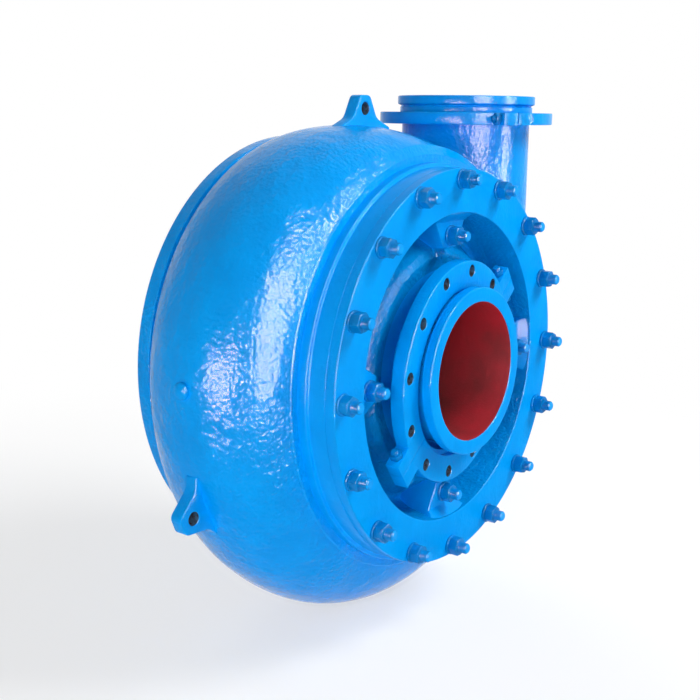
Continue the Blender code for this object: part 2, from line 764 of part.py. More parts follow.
def half_flange(name, outer, bore_profile, ear_far, thickness, holes, parent, upper, split_gap):
    """One half of a split loose flange; its ears lie along the local x axis."""
    inner, recess, recess_depth = bore_profile
    front = thickness / 2
    disc = turned(name, [
        (recess, front), (outer - 2 * MM, front), (outer, front - 2 * MM),
        (outer, -front), (inner, -front), (inner, front - recess_depth),
        (recess, front - recess_depth)], 48, parent, blue_paint(name))
    ears = bmesh.new()
    for hand in (-1, 1):
        near = hand * (outer - 22 * MM)
        far = hand * ear_far
        low, high = sorted((near, far))
        add_prism(ears, [(low, -ear_width), (high, -ear_width), (high, ear_width), (low, ear_width)],
                  0.4 * MM - front, front - 0.4 * MM)
    join(disc, finish_object(name + "_ears_tool", mesh_from(ears, name + "_ears_tool"), parent))
    cut(disc, holes_tool(name + "_holes_tool", [
        (holes[0], holes[1], -thickness, thickness)], parent))
    bolt_place = (outer + ear_far) / 2
    bolts = bmesh.new()
    for hand in (-1, 1):
        add_cylinder(bolts, clamp_bolt_radius + fit_gap, -ear_width - 20 * MM, ear_width + 20 * MM,
                     (hand * bolt_place, 0), 12, "Y")
    cut(disc, finish_object(name + "_bolt_holes_tool", mesh_from(bolts, name + "_bolt_holes_tool"),
                            parent))
    keep = bmesh.new()
    side = 1 if upper else -1
    rows = sorted((side * split_gap / 2, side * (outer + 60 * MM)))
    span = ear_far + 40 * MM
    add_prism(keep, [(-span, rows[0]), (span, rows[0]), (span, rows[1]), (-span, rows[1])],
              -thickness, thickness)
    join(disc, finish_object(name + "_half_tool", mesh_from(keep, name + "_half_tool"), parent),
         "INTERSECT")
    return bolt_place


def clamp_bolt(name, place, parent):
    """A clamp bolt with head and nut across the two ears."""
    reach = ear_width + fit_gap
    half = clamp_flats / 2
    nut_top = reach + clamp_nut_height
    mesh = fastener_mesh(name, [
        (half, -reach - clamp_head_height, True), (half, -reach, True),
        (clamp_bolt_radius, -reach, False), (clamp_bolt_radius, reach, False),
        (half, reach, True), (half, nut_top, True),
        (clamp_bolt_radius, nut_top, False), (clamp_bolt_radius, nut_top + clamp_tip, False)])
    bolt = finish_object(name, mesh, parent, blue_paint(name))
    bolt.location = (place, 0, 0)
    bolt.rotation_euler = (-math.pi / 2, 0, 0)
    return bolt


def make_suction_flange():
    """Split loose flange that hangs on the neck of the suction pipe."""
    places = circle_places(loose_flange_hole_circle, loose_flange_holes, math.radians(15))
    for name, upper in (("suction_flange_upper", True), ("suction_flange_lower", False)):
        place = half_flange(
            name, loose_flange_radius,
            (loose_flange_bore, loose_flange_recess, loose_flange_recess_depth),
            loose_flange_radius + ear_reach, loose_flange_thickness,
            (places, loose_flange_hole_radius), suction_flange_axis, upper, suction_split_gap)
    clamp_bolt("suction_flange_bolt_1", place, suction_flange_axis)
    clamp_bolt("suction_flange_bolt_2", -place, suction_flange_axis)


def make_discharge_flange():
    """Split loose flange under the collar of the discharge pipe."""
    profile = (pipe_radius + slip_gap, discharge_collar_radius + 2 * slip_gap,
               discharge_flange_recess_depth)
    places = circle_places(discharge_flange_hole_circle, discharge_flange_holes, math.radians(15))
    for name, upper in (("discharge_flange_left", True), ("discharge_flange_right", False)):
        place = half_flange(
            name, discharge_flange_radius, profile, discharge_flange_radius + ear_reach,
            discharge_flange_thickness, (places, discharge_flange_hole_radius),
            discharge_flange_axis, upper, discharge_split_gap)
    clamp_bolt("discharge_flange_bolt_1", place, discharge_flange_axis)
    clamp_bolt("discharge_flange_bolt_2", -place, discharge_flange_axis)


def make_studs():
    """Studs of the front cover, the liner bosses and the rear cover."""
    for number, place in enumerate(circle_places(stud_circle, stud_count)):
        make_stud("cover_stud_" + str(number + 1).zfill(2), place, face_place,
                  cover_thickness + stud_grip - blind_gap, front_view)
    for number, place in enumerate(circle_places(boss_stud_circle, 4)):
        make_stud("liner_stud_" + str(number + 1), place, face_place - boss_setback, stud_grip,
                  front_view)
    places = circle_places(rear_stud_circle, rear_stud_count, math.pi / 8)
    for number, place in enumerate(places):
        name = "rear_stud_" + str(number + 1)
        stations = stud_stations(
            -rear_relief, rear_plate_thickness - rear_relief + stud_grip - blind_gap, False)
        mesh = fastener_mesh(name, stations, 6)
        stud = finish_object(name, mesh, front_view, blue_paint(name))
        stud.location = (*place, 0)
        stud.rotation_euler = (math.pi, 0, 0)


# Clear the scene and make the collections
for old in list(bpy.data.objects):
    bpy.data.objects.remove(old, do_unlink=True)
pump = make_collection("slurry_pump", bpy.context.scene.collection)
tools = make_collection("slurry_pump_tools", bpy.context.scene.collection)

# Axes that carry the pieces
front_turn = (math.pi / 2, 0, 0)
front_view = make_empty("front_view", (0, 0, 0), front_turn)
rotor_axis = make_empty("rotor_axis", (0, 0, 0), front_turn)
gland_axis = make_empty("gland_axis", (0, 0, 0), front_turn)
discharge_axis = make_empty("discharge_axis", (discharge_offset, -middle_place, 0), (0, 0, 0))
plug_axis = make_empty("plug_axis", (0, 0, 0), (0, 0, 0), front_view)
plug_reach = volute_reach(plug_turn)
plug_way = Vector((-math.sin(plug_turn), math.cos(plug_turn), 0))
plug_axis.location = plug_way * plug_reach + Vector((0, 0, middle_place))
plug_axis.rotation_euler = plug_way.to_track_quat("Z", "Y").to_euler()
flange_drop = loose_flange_bore - neck_radius - hang_gap
flange_middle = face_place - loose_flange_setback
suction_flange_axis = make_empty(
    "suction_flange_axis", (0, -flange_middle, -flange_drop), (0, 0, 0))
swing = Matrix.Rotation(loose_flange_swing, 4, "Z")
lean = Matrix.Rotation(math.pi / 2 + loose_flange_lean, 4, "X")
spin = Matrix.Rotation(math.pi / 2 + loose_flange_turn, 4, "Z")
suction_flange_axis.rotation_euler = (swing @ lean @ spin).to_euler()
discharge_flange_axis = make_empty(
    "discharge_flange_axis",
    (discharge_offset, -middle_place,
     collar_base - fit_gap + discharge_flange_recess_depth - discharge_flange_thickness / 2),
    (0, 0, discharge_flange_turn))

make_casing()
make_plug()
make_front_cover()
make_suction_pipe()
make_liners()
make_rear_cover()
make_seal()
make_shaft()
make_impeller()
make_suction_flange()
make_discharge_flange()
make_studs()
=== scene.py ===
import json
import math

import bpy
from mathutils import Matrix, Vector


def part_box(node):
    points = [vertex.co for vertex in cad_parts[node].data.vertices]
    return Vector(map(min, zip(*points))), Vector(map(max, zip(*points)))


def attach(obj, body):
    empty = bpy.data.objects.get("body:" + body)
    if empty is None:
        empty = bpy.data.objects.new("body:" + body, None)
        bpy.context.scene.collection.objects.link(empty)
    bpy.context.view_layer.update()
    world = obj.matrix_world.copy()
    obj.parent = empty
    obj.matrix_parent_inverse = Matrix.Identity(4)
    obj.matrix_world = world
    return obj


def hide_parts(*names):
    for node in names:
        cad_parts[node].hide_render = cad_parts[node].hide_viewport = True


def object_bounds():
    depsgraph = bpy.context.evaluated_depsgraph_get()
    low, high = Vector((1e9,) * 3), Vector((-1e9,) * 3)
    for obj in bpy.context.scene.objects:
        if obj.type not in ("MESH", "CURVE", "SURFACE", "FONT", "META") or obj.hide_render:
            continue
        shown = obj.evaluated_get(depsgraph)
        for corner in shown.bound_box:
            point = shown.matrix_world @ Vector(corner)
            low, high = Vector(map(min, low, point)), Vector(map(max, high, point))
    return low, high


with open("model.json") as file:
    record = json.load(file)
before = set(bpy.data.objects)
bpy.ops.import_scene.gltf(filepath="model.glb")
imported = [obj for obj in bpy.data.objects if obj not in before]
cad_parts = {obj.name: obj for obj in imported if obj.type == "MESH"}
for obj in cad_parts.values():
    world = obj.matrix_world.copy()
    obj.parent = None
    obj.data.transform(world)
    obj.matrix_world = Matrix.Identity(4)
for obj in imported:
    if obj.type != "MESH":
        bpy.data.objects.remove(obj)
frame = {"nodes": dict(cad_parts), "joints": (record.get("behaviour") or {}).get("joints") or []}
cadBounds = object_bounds()
mm = 0.001
weldGap = 0.03 * mm
frontView = Matrix.Rotation(math.pi / 2, 4, "X")  # local z looks forward along -Y, local y up
forwardAxis = Vector((0, -1, 0))

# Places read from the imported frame; forward is the distance in front of the rear seat
coverLow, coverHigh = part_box("front_cover")
pipeLow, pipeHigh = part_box("suction_pipe")
casingLow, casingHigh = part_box("volute_casing")
ringRadius = coverHigh.x
facePlace = -coverLow.y
lipPlace = -pipeLow.y
casingBack = -casingHigh.y
casingFront = -casingLow.y
dischargeTop = casingHigh.z
print("frame loaded: face", round(facePlace, 4), "lip", round(lipPlace, 4))


# Selecting and finishing

def deselectAll():
    bpy.ops.object.select_all(action="DESELECT")


def pick(*pieces):
    deselectAll()
    for piece in pieces:
        piece.select_set(True)
    bpy.context.view_layer.objects.active = pieces[0]


def settle(piece, place=None):
    # the object goes to the origin and its place goes into the mesh
    if place is not None:
        piece.matrix_world = place @ piece.matrix_world
    pick(piece)
    bpy.ops.object.transform_apply(location=True, rotation=True, scale=True)
    return piece


def applyModifiers(piece):
    pick(piece)
    for modifier in list(piece.modifiers):
        bpy.ops.object.modifier_apply(modifier=modifier.name)


def change(piece, tool, operation):
    # one exact Boolean, applied, and the tool taken away
    modifier = piece.modifiers.new("change", "BOOLEAN")
    modifier.operation = operation
    modifier.solver = "EXACT"
    modifier.object = tool
    applyModifiers(piece)
    bpy.data.objects.remove(tool, do_unlink=True)


def softEdges(piece, width, segments, degrees):
    modifier = piece.modifiers.new("edges", "BEVEL")
    modifier.width = width
    modifier.segments = segments
    modifier.limit_method = "ANGLE"
    modifier.angle_limit = math.radians(degrees)
    applyModifiers(piece)


def copyOf(piece, name, place):
    # a copy with its own mesh
    twin = piece.copy()
    twin.data = piece.data.copy()
    twin.name = name
    bpy.context.scene.collection.objects.link(twin)
    return settle(twin, place)


def joined(name, pieces):
    pick(*pieces)
    bpy.ops.object.join()
    pieces[0].name = name
    return pieces[0]


def editAll():
    bpy.ops.object.mode_set(mode="EDIT")
    bpy.ops.mesh.select_all(action="SELECT")


def turnOutward():
    # every face of the mesh in edit mode points out, then edit mode is left
    bpy.ops.mesh.select_all(action="SELECT")
    bpy.ops.mesh.normals_make_consistent(inside=False)
    bpy.ops.object.mode_set(mode="OBJECT")


# Drawing and turning

def roundedOutline(corners, arcSteps, closed):
    # corners are (x, y, fillet); each fillet becomes an arc
    points = []
    count = len(corners)
    for number, (x, y, fillet) in enumerate(corners):
        here = Vector((x, y))
        if not fillet or (not closed and number in (0, count - 1)):
            points.append(here)
            continue
        before = Vector(corners[number - 1][:2]) - here
        after = Vector(corners[(number + 1) % count][:2]) - here
        opening = before.angle(after)
        reach = min(fillet / math.tan(opening / 2), before.length * 0.49, after.length * 0.49)
        radius = reach * math.tan(opening / 2)
        middle = (before.normalized() + after.normalized()).normalized()
        centre = here + middle * (radius / math.sin(opening / 2))
        start = here + before.normalized() * reach - centre
        end = here + after.normalized() * reach - centre
        sweep = math.atan2(start.x * end.y - start.y * end.x, start.dot(end))
        for step in range(arcSteps + 1):
            points.append(centre + Matrix.Rotation(sweep * step / arcSteps, 2) @ start)
    return points


def drawOutline(name, points, closed):
    # one vertex, then extruded from point to point in the local XZ plane
    deselectAll()
    bpy.ops.mesh.primitive_plane_add(size=0.01, location=(0, 0, 0))
    piece = bpy.context.object
    piece.name = name
    places = [Vector((point[0], 0, point[1])) for point in points]
    if closed:
        places.append(places[0])
    editAll()
    bpy.ops.mesh.merge(type="CENTER")
    bpy.ops.transform.translate(value=places[0])
    for start, end in zip(places, places[1:]):
        bpy.ops.mesh.extrude_region_move(TRANSFORM_OT_translate={"value": end - start})
    return piece


def turnedPiece(name, corners, steps=144, arcSteps=4, closed=True, place=frontView):
    # corners are (radius, height, fillet), spun round the local z axis
    piece = drawOutline(name, roundedOutline(corners, arcSteps, closed), closed)
    bpy.ops.mesh.select_all(action="SELECT")
    bpy.ops.mesh.spin(steps=steps, angle=2 * math.pi, center=(0, 0, 0), axis=(0, 0, 1))
    bpy.ops.mesh.select_all(action="SELECT")
    bpy.ops.mesh.remove_doubles(threshold=weldGap)
    turnOutward()
    return settle(piece, place)


def prismPiece(name, corners, low, high, arcSteps, place):
    # a closed outline of (x, y, fillet) pulled up between two heights
    piece = drawOutline(name, roundedOutline(corners, arcSteps, True), True)
    bpy.ops.mesh.select_all(action="SELECT")
    bpy.ops.mesh.remove_doubles(threshold=weldGap)
    bpy.ops.mesh.edge_face_add()
    bpy.ops.mesh.extrude_region_move(TRANSFORM_OT_translate={"value": (0, high - low, 0)})
    bpy.ops.object.mode_set(mode="OBJECT")
    # the outline was drawn standing up: lay it down so that its y is local y
    lay = Matrix(((1, 0, 0, 0), (0, 0, 1, 0), (0, 1, 0, low), (0, 0, 0, 1)))
    settle(piece, place @ lay)
    editAll()
    turnOutward()
    return piece


def drillTool(radius, chamfer, low, high, steps=32):
    # a hole with both rims flared, standing on the local z axis
    flare = 3 * chamfer
    wide = radius + chamfer + flare
    corners = [(0, low - flare, 0), (wide, low - flare, 0), (radius, low + chamfer, 0),
               (radius, high - chamfer, 0), (wide, high + flare, 0), (0, high + flare, 0)]
    return turnedPiece("drill", corners, steps, 2, False, Matrix.Identity(4))


def circlePlaces(radius, count, first):
    # clockwise from the top in the front view
    turns = [first + 2 * math.pi * number / count for number in range(count)]
    return [Vector((radius * math.sin(turn), radius * math.cos(turn))) for turn in turns]


# Materials

class Wire:
    def __init__(self, tree, socket=None):
        self.tree = tree
        self.socket = socket

    def node(self, kind, settings=None, values=None, output=0):
        # settings are set first, then the sockets' values or links
        made = self.tree.nodes.new(kind)
        for name, value in (settings or {}).items():
            if name == "stops":
                for element, (position, shade) in zip(made.color_ramp.elements, value):
                    element.position = position
                    element.color = (shade, shade, shade, 1)
            else:
                setattr(made, name, value)
        for name, value in (values or {}).items():
            if isinstance(value, Wire):
                self.tree.links.new(value.socket, made.inputs[name])
            else:
                made.inputs[name].default_value = value
        return Wire(self.tree, made.outputs[output])

    def maths(self, operation, first, second=0.0):
        return self.node("ShaderNodeMath", {"operation": operation}, {0: first, 1: second})

    def __add__(self, other):
        return self.maths("ADD", self, other)

    def __radd__(self, other):
        return self.maths("ADD", other, self)

    def __rsub__(self, other):
        return self.maths("SUBTRACT", other, self)

    def __mul__(self, other):
        return self.maths("MULTIPLY", self, other)


def startMaterial(name):
    material = bpy.data.materials.new(name)
    material.use_nodes = True
    tree = material.node_tree
    shader = tree.nodes["Principled BSDF"]
    place = Wire(tree).node("ShaderNodeTexCoord", output="Object")
    return material, shader, place


def noise(place, scale, detail, roughness, stretch=(1, 1, 1), shift=(0, 0, 0)):
    spot = place.node("ShaderNodeMapping", None, {"Vector": place, "Scale": stretch, "Location": shift})
    return place.node("ShaderNodeTexNoise", None,
                      {"Vector": spot, "Scale": scale, "Detail": detail, "Roughness": roughness})


def band(mask, low, high):
    # 0 below low and 1 above high
    return mask.node("ShaderNodeValToRGB", {"stops": [(low, 0.0), (high, 1.0)]}, {"Fac": mask})


def mixColour(factor, first, second):
    return factor.node("ShaderNodeMix", {"data_type": "RGBA"}, {0: factor, 6: first, 7: second}, 2)


def bump(height, strength, distance, under=None):
    # under is the relief that this one lies on
    values = {"Strength": strength, "Distance": distance, "Height": height}
    if under is not None:
        values["Normal"] = under
    return height.node("ShaderNodeBump", None, values)


def plug(wire, shader, socket):
    wire.tree.links.new(wire.socket, shader.inputs[socket])


enamelLook = {
    "tint": (1.0, 0.78, 0.6), "lumpScale": 11.0, "peelScale": 124.0, "brushScale": 85.0,
    "grainScale": 330.0, "patchScale": 5.5, "pitScale": 230.0,
    "swellDepth": 6 * mm, "peelDepth": 4.6 * mm, "pitDepth": 0.6 * mm,
}
bluePaint = {"colour": (0.0, 0.295, 0.77), "deep": (0.0, 0.258, 0.70), "pale": (0.002, 0.33, 0.83)}
# a darker copy of the blue enamel, laid in the cover's recess: painted shade
recessShadePaint = {"colour": (0.0, 0.235, 0.60), "deep": (0.0, 0.195, 0.51), "pale": (0.002, 0.28, 0.70)}
# a darker copy of the blue enamel for studs, nuts, washers and clamp bolts: painted shade
shadedBoltPaint = {"colour": (0.0, 0.225, 0.60), "deep": (0.0, 0.125, 0.36), "pale": (0.01, 0.33, 0.82)}
# lumps, peel and pits are how deep each shows, gloss is the least roughness
castSkin = {"paint": bluePaint, "lumps": 1.0, "peel": 0.62, "pits": 1.0, "gloss": 0.08, "specular": 0.06,
            "shift": (0, 0, 0)}
turnedSkin = {"paint": bluePaint, "lumps": 0.2, "peel": 0.2, "pits": 0.3, "gloss": 0.12, "specular": 0.05,
              "shift": (3.1, 1.7, 0.4)}
flatSkin = {"paint": bluePaint, "lumps": 0.2, "peel": 0.2, "pits": 0.3, "gloss": 0.26, "specular": 0.008,
            "shift": (3.1, 1.7, 0.4)}
recessShadeSkin = {"paint": recessShadePaint, "lumps": 0.9, "peel": 0.9, "pits": 1.4, "gloss": 0.12, "specular": 0.02,
              "shift": (1.3, 0.6, 2.2)}
pipeSkin = {"paint": bluePaint, "lumps": 0.5, "peel": 0.5, "pits": 0.8, "gloss": 0.08, "specular": 0.055,
            "shift": (0, 0, 0)}
shadedBoltSkin = {"paint": shadedBoltPaint, "lumps": 0.0, "peel": 0.28, "pits": 1.2, "gloss": 0.1, "specular": 0.06,
            "shift": (0.7, 2.9, 1.1)}


def blueEnamel(name, skin):
    # thick brushed enamel over iron as cast or as turned
    material, shader, place = startMaterial(name)
    shift = skin["shift"]
    paint = skin["paint"]
    lumps = noise(place, enamelLook["lumpScale"], 3.0, 0.55, shift=shift)
    peel = noise(place, enamelLook["peelScale"], 0.8, 0.5, shift=shift)
    grain = noise(place, enamelLook["grainScale"], 3.0, 0.6, shift=shift)
    brush = noise(place, enamelLook["brushScale"], 2.0, 0.5, (1, 1, 0.10), shift)
    patches = band(noise(place, enamelLook["patchScale"], 3.0, 0.6, shift=shift), 0.46, 0.60)
    tone = mixColour(band(lumps, 0.32, 0.72), (*paint["deep"], 1), (*paint["colour"], 1))
    tone = mixColour(band(brush, 0.60, 0.80) * 0.5, tone, (*paint["pale"], 1))
    plug(tone, shader, "Base Color")
    plug(skin["gloss"] + grain * 0.05 + patches * (0.05 * skin["pits"]), shader, "Roughness")
    shader.inputs["Specular IOR Level"].default_value = skin["specular"]
    shader.inputs["Specular Tint"].default_value = (*enamelLook["tint"], 1)
    # swells of the casting, orange peel of the paint, then pits where the skin is coarse
    swell = bump(lumps, skin["lumps"], enamelLook["swellDepth"])
    rough = (peel + brush * 0.35) * (0.5 + patches * 0.5)
    coat = bump(rough, 1.0, enamelLook["peelDepth"] * skin["peel"], swell)
    pits = noise(place, enamelLook["pitScale"], 2.0, 0.6, shift=shift) * (0.15 + patches * 0.85)
    plug(bump(pits, 1.0, enamelLook["pitDepth"] * skin["pits"], coat), shader, "Normal")
    return material


primerLook = {"colour": (0.36, 0.010, 0.020), "dark": (0.19, 0.012, 0.016), "pale": (0.46, 0.022, 0.034)}


def redPrimer(name):
    # matt red primer, brushed round the bore
    material, shader, place = startMaterial(name)
    streaks = noise(place, 26.0, 4.0, 0.6, (0.5, 2.4, 0.5))
    blotches = noise(place, 7.0, 3.0, 0.55)
    grain = noise(place, 240.0, 3.0, 0.6)
    tone = mixColour(band(blotches, 0.35, 0.62), (*primerLook["dark"], 1), (*primerLook["colour"], 1))
    tone = mixColour(band(streaks, 0.56, 0.82) * 0.4, tone, (*primerLook["pale"], 1))
    plug(tone, shader, "Base Color")
    plug(0.5 + grain * 0.22, shader, "Roughness")
    shader.inputs["Specular IOR Level"].default_value = 0.05
    plug(bump(grain * 0.6 + streaks, 0.6, 1.2 * mm), shader, "Normal")
    return material


def bareHole(name):
    # a hole's wall, partly bare metal and partly paint, near black to dark blue: painted shade
    material, shader, place = startMaterial(name)
    skin = noise(place, 110.0, 3.0, 0.6)
    tone = mixColour(band(skin, 0.42, 0.6), (0.003, 0.009, 0.016, 1), (0.006, 0.07, 0.15, 1))
    plug(tone, shader, "Base Color")
    plug(0.6 + skin * 0.3, shader, "Roughness")
    shader.inputs["Specular IOR Level"].default_value = 0.1
    return material


def wetIron(name):
    # hard iron as cast, dark with a little rust in its hollows
    material, shader, place = startMaterial(name)
    skin = noise(place, 130.0, 4.0, 0.62)
    clouds = noise(place, 11.0, 4.0, 0.6)
    rust = band(clouds + skin * 0.3, 0.66, 0.84)
    tone = mixColour(band(skin, 0.3, 0.7), (0.045, 0.043, 0.042, 1), (0.125, 0.120, 0.115, 1))
    tone = mixColour(rust * 0.7, tone, (0.13, 0.045, 0.018, 1))
    plug(tone, shader, "Base Color")
    plug(0.45 + skin * 0.25 + rust * 0.2, shader, "Roughness")
    plug(0.85 - rust * 0.75, shader, "Metallic")
    plug(bump(skin, 0.7, 1 * mm), shader, "Normal")
    return material


def turnedSteel(name):
    # tool marks run round the shaft, so they change along Y only
    material, shader, place = startMaterial(name)
    marks = noise(place, 900.0, 2.0, 0.6, (0.004, 1, 0.004))
    stains = noise(place, 30.0, 4.0, 0.6)
    tone = mixColour(band(stains, 0.35, 0.75), (0.42, 0.41, 0.40, 1), (0.60, 0.60, 0.60, 1))
    plug(tone, shader, "Base Color")
    plug(0.2 + marks * 0.18 + band(stains, 0.5, 0.8) * 0.15, shader, "Roughness")
    shader.inputs["Metallic"].default_value = 1.0
    plug(bump(marks, 0.4, 0.2 * mm), shader, "Normal")
    return material


def packingRope(name):
    # square braid, graphited
    material, shader, place = startMaterial(name)
    weave = place.node("ShaderNodeTexVoronoi", None, {"Vector": place, "Scale": 260.0})
    tone = mixColour(band(weave, 0.15, 0.6), (0.035, 0.033, 0.030, 1), (0.11, 0.10, 0.085, 1))
    plug(tone, shader, "Base Color")
    plug(0.75 + weave * 0.2, shader, "Roughness")
    plug(bump(weave, 1.0, 1 * mm), shader, "Normal")
    return material


castEnamel = blueEnamel("castEnamel", castSkin)
smoothEnamel = blueEnamel("smoothEnamel", turnedSkin)
flatEnamel = blueEnamel("flatEnamel", flatSkin)
recessShadeEnamel = blueEnamel("recessShadeEnamel", recessShadeSkin)
pipeEnamel = blueEnamel("pipeEnamel", pipeSkin)
shadedBoltEnamel = blueEnamel("shadedBoltEnamel", shadedBoltSkin)
primer = redPrimer("redPrimer")
holeWallShade = bareHole("paintedHoleShade")
iron = wetIron("wetIron")
steel = turnedSteel("turnedSteel")
rope = packingRope("packingRope")
print("materials made")


def dress(piece, material, body, replaced=(), degrees=32):
    piece.data.materials.clear()
    piece.data.materials.append(material)
    pick(piece)
    bpy.ops.object.shade_smooth_by_angle(angle=math.radians(degrees))
    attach(piece, body)
    if replaced:
        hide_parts(*replaced)


def paintInside(piece, inside, material):
    # a second material on the faces whose middle is inside
    piece.data.materials.append(material)
    for face in piece.data.polygons:
        if inside(face.center, face.normal):
            face.material_index = len(piece.data.materials) - 1


def calmFlat(piece, axis):
    # machined faces square to the axis are less glossy than their edges
    paintInside(piece, lambda spot, normal: abs(normal.dot(axis)) > 0.97, flatEnamel)


def paintHoles(piece, place, centres, reach):
    # the bare walls of holes cut along the local z axis of a place, darkened with painted shade
    back = place.inverted()

    def inside(spot, normal):
        here = (back @ spot).xy
        onWall = abs((back.to_3x3() @ normal).z) < 0.6
        return onWall and min((here - centre).length for centre in centres) < reach

    paintInside(piece, inside, holeWallShade)


# Volute casing

# narrowFrom, dropFrom and their spans are in degrees
casing = {
    "reach": 578 * mm, "narrowing": 105 * mm, "narrowFrom": 90, "narrowSpan": 150, "dropFrom": 270,
    "dropSpan": 30, "halfWidth": 165 * mm, "middle": 226 * mm, "frontRim": 454 * mm, "frontCut": 1.06,
    "rearBase": 470 * mm, "wall": 32 * mm, "sideWall": 0.9, "mouth": 352 * mm, "roundness": 0.92,
    "pipeOffset": 418 * mm, "pipeRadius": 158 * mm, "pipeBore": 130 * mm, "pipeTop": 556 * mm,
    "boreFoot": 60 * mm, "pipeSkinFoot": 330 * mm, "primerTop": 450 * mm, "primerInset": 14 * mm,
    "turns": 180, "rows": 36, "voxel": 7.5 * mm, "smoothing": 9,
}


def ease(value):
    value = min(max(value, 0.0), 1.0)
    return value * value * (3 - 2 * value)


def voluteReach(turn):
    # turn runs against the clock from the top in the front view; the radius narrows slowly from
    # the left over the top to the cutwater at the upper right, and quickly from the right up to it
    degrees = math.degrees(turn) % 360
    if degrees >= casing["dropFrom"] + casing["dropSpan"]:
        degrees -= 360
    narrowed = ease((casing["narrowFrom"] - degrees) / casing["narrowSpan"])
    dropped = ease((degrees - casing["dropFrom"]) / casing["dropSpan"])
    return casing["reach"] - casing["narrowing"] * (narrowed + dropped)


def bulgeHalf(wall):
    return casing["halfWidth"] - wall * casing["sideWall"]


def bulgeRadius(turn, forward, wall):
    # radius of the bulge at a place along the shaft; wall is the inset of the inner skin
    half = bulgeHalf(wall)
    reach = voluteReach(turn) - wall
    along = min(max((forward - casing["middle"]) / half, -1.0), 1.0)
    if wall:
        share = math.acos(along) / math.pi
        base = casing["mouth"] + 8 * mm - 2 * mm * share
    else:
        # the front stops short of its full curve and leaves a rim
        if along > 0:
            along /= casing["frontCut"]
        share = math.acos(along) / math.pi
        rise = math.sin(math.acos(1 / casing["frontCut"])) ** casing["roundness"]
        front = (casing["frontRim"] - rise * reach) / (1 - rise)
        base = front if along > 0 else casing["rearBase"]
    return base + (reach - base) * math.sin(math.pi * share) ** casing["roundness"]


def voluteShell(name, wall, endFront, endRear, mouth):
    # a ring section is spun, then each point is pulled out to the volute's own radius
    half = bulgeHalf(wall)
    corners = [(mouth, endFront, 0)]
    for row in range(casing["rows"] + 1):
        forward = casing["middle"] + half * math.cos(math.pi * row / casing["rows"])
        corners.append((bulgeRadius(math.pi, forward, wall), forward, 0))
    corners.append((mouth, endRear, 0))
    shell = turnedPiece(name, corners, casing["turns"], place=Matrix.Identity(4))
    for vertex in shell.data.vertices:
        spot = vertex.co
        radius = math.hypot(spot.x, spot.y)
        if radius < mouth + 1 * mm:
            continue
        turn = math.atan2(-spot.x, spot.y)
        factor = bulgeRadius(turn, spot.z, wall) / radius
        vertex.co = Vector((spot.x * factor, spot.y * factor, spot.z))
    return settle(shell, frontView)


pipePlace = Matrix.Translation((casing["pipeOffset"], -casing["middle"], 0))


def fromPipeAxis(spot):
    return (spot - pipePlace.translation).xy.length


def makeCasing():
    middle = casing["middle"]
    half = casing["halfWidth"]
    body = voluteShell("casingBody", 0.0, middle + half, middle - half, casing["mouth"])
    pipe = turnedPiece("pipe", [(0, casing["pipeTop"], 0), (casing["pipeRadius"], casing["pipeTop"], 0),
                                (casing["pipeRadius"], 0, 0), (0, 0, 0)], 120, 1, False, pipePlace)
    change(body, pipe, "UNION")
    cavity = voluteShell("cavity", casing["wall"], casingFront + 30 * mm, casingBack - 30 * mm,
                         casing["mouth"] - 1 * mm)
    change(body, cavity, "DIFFERENCE")
    bore = turnedPiece("bore", [(0, dischargeTop, 0), (casing["pipeBore"], dischargeTop, 0),
                                (casing["pipeBore"], casing["boreFoot"], 0),
                                (0, casing["boreFoot"], 0)], 96, 1, False, pipePlace)
    change(body, bore, "DIFFERENCE")
    print("casing cut:", len(body.data.polygons), "faces")
    body.data.remesh_voxel_size = casing["voxel"]
    pick(body)
    bpy.ops.object.voxel_remesh()
    settled = body.modifiers.new("settle", "SMOOTH")
    settled.factor = 0.5
    settled.iterations = casing["smoothing"]
    applyModifiers(body)
    print("casing remeshed:", len(body.data.polygons), "faces")
    dress(body, castEnamel, "casing", ["volute_casing"], 60)

    def inside(spot, normal):
        forward = -spot.y
        radius = math.hypot(spot.x, spot.z)
        turn = math.atan2(-spot.x, spot.z)
        inPipe = fromPipeAxis(spot) < casing["pipeBore"] + 8 * mm and spot.z > 0
        inset = casing["primerInset"]
        deep = radius < bulgeRadius(turn, forward, 0.0) - inset and abs(forward - middle) < half - inset
        return inPipe or (deep and spot.z < casing["primerTop"])

    def onPipe(spot, normal):
        near = abs(fromPipeAxis(spot) - casing["pipeRadius"]) < 3 * mm
        return near and spot.z > casing["pipeSkinFoot"]

    paintInside(body, inside, primer)
    paintInside(body, onPipe, pipeEnamel)


collars = {"frontRadius": 429 * mm, "frontDepth": 40 * mm, "shoulderRadius": 437 * mm,
           "shoulderDepth": 24 * mm, "rearRadius": 470 * mm, "rearDepth": 30 * mm, "edge": 2.5 * mm,
           "seam": 0.6 * mm, "rimDepth": 14 * mm, "rimEdge": 1.6 * mm}


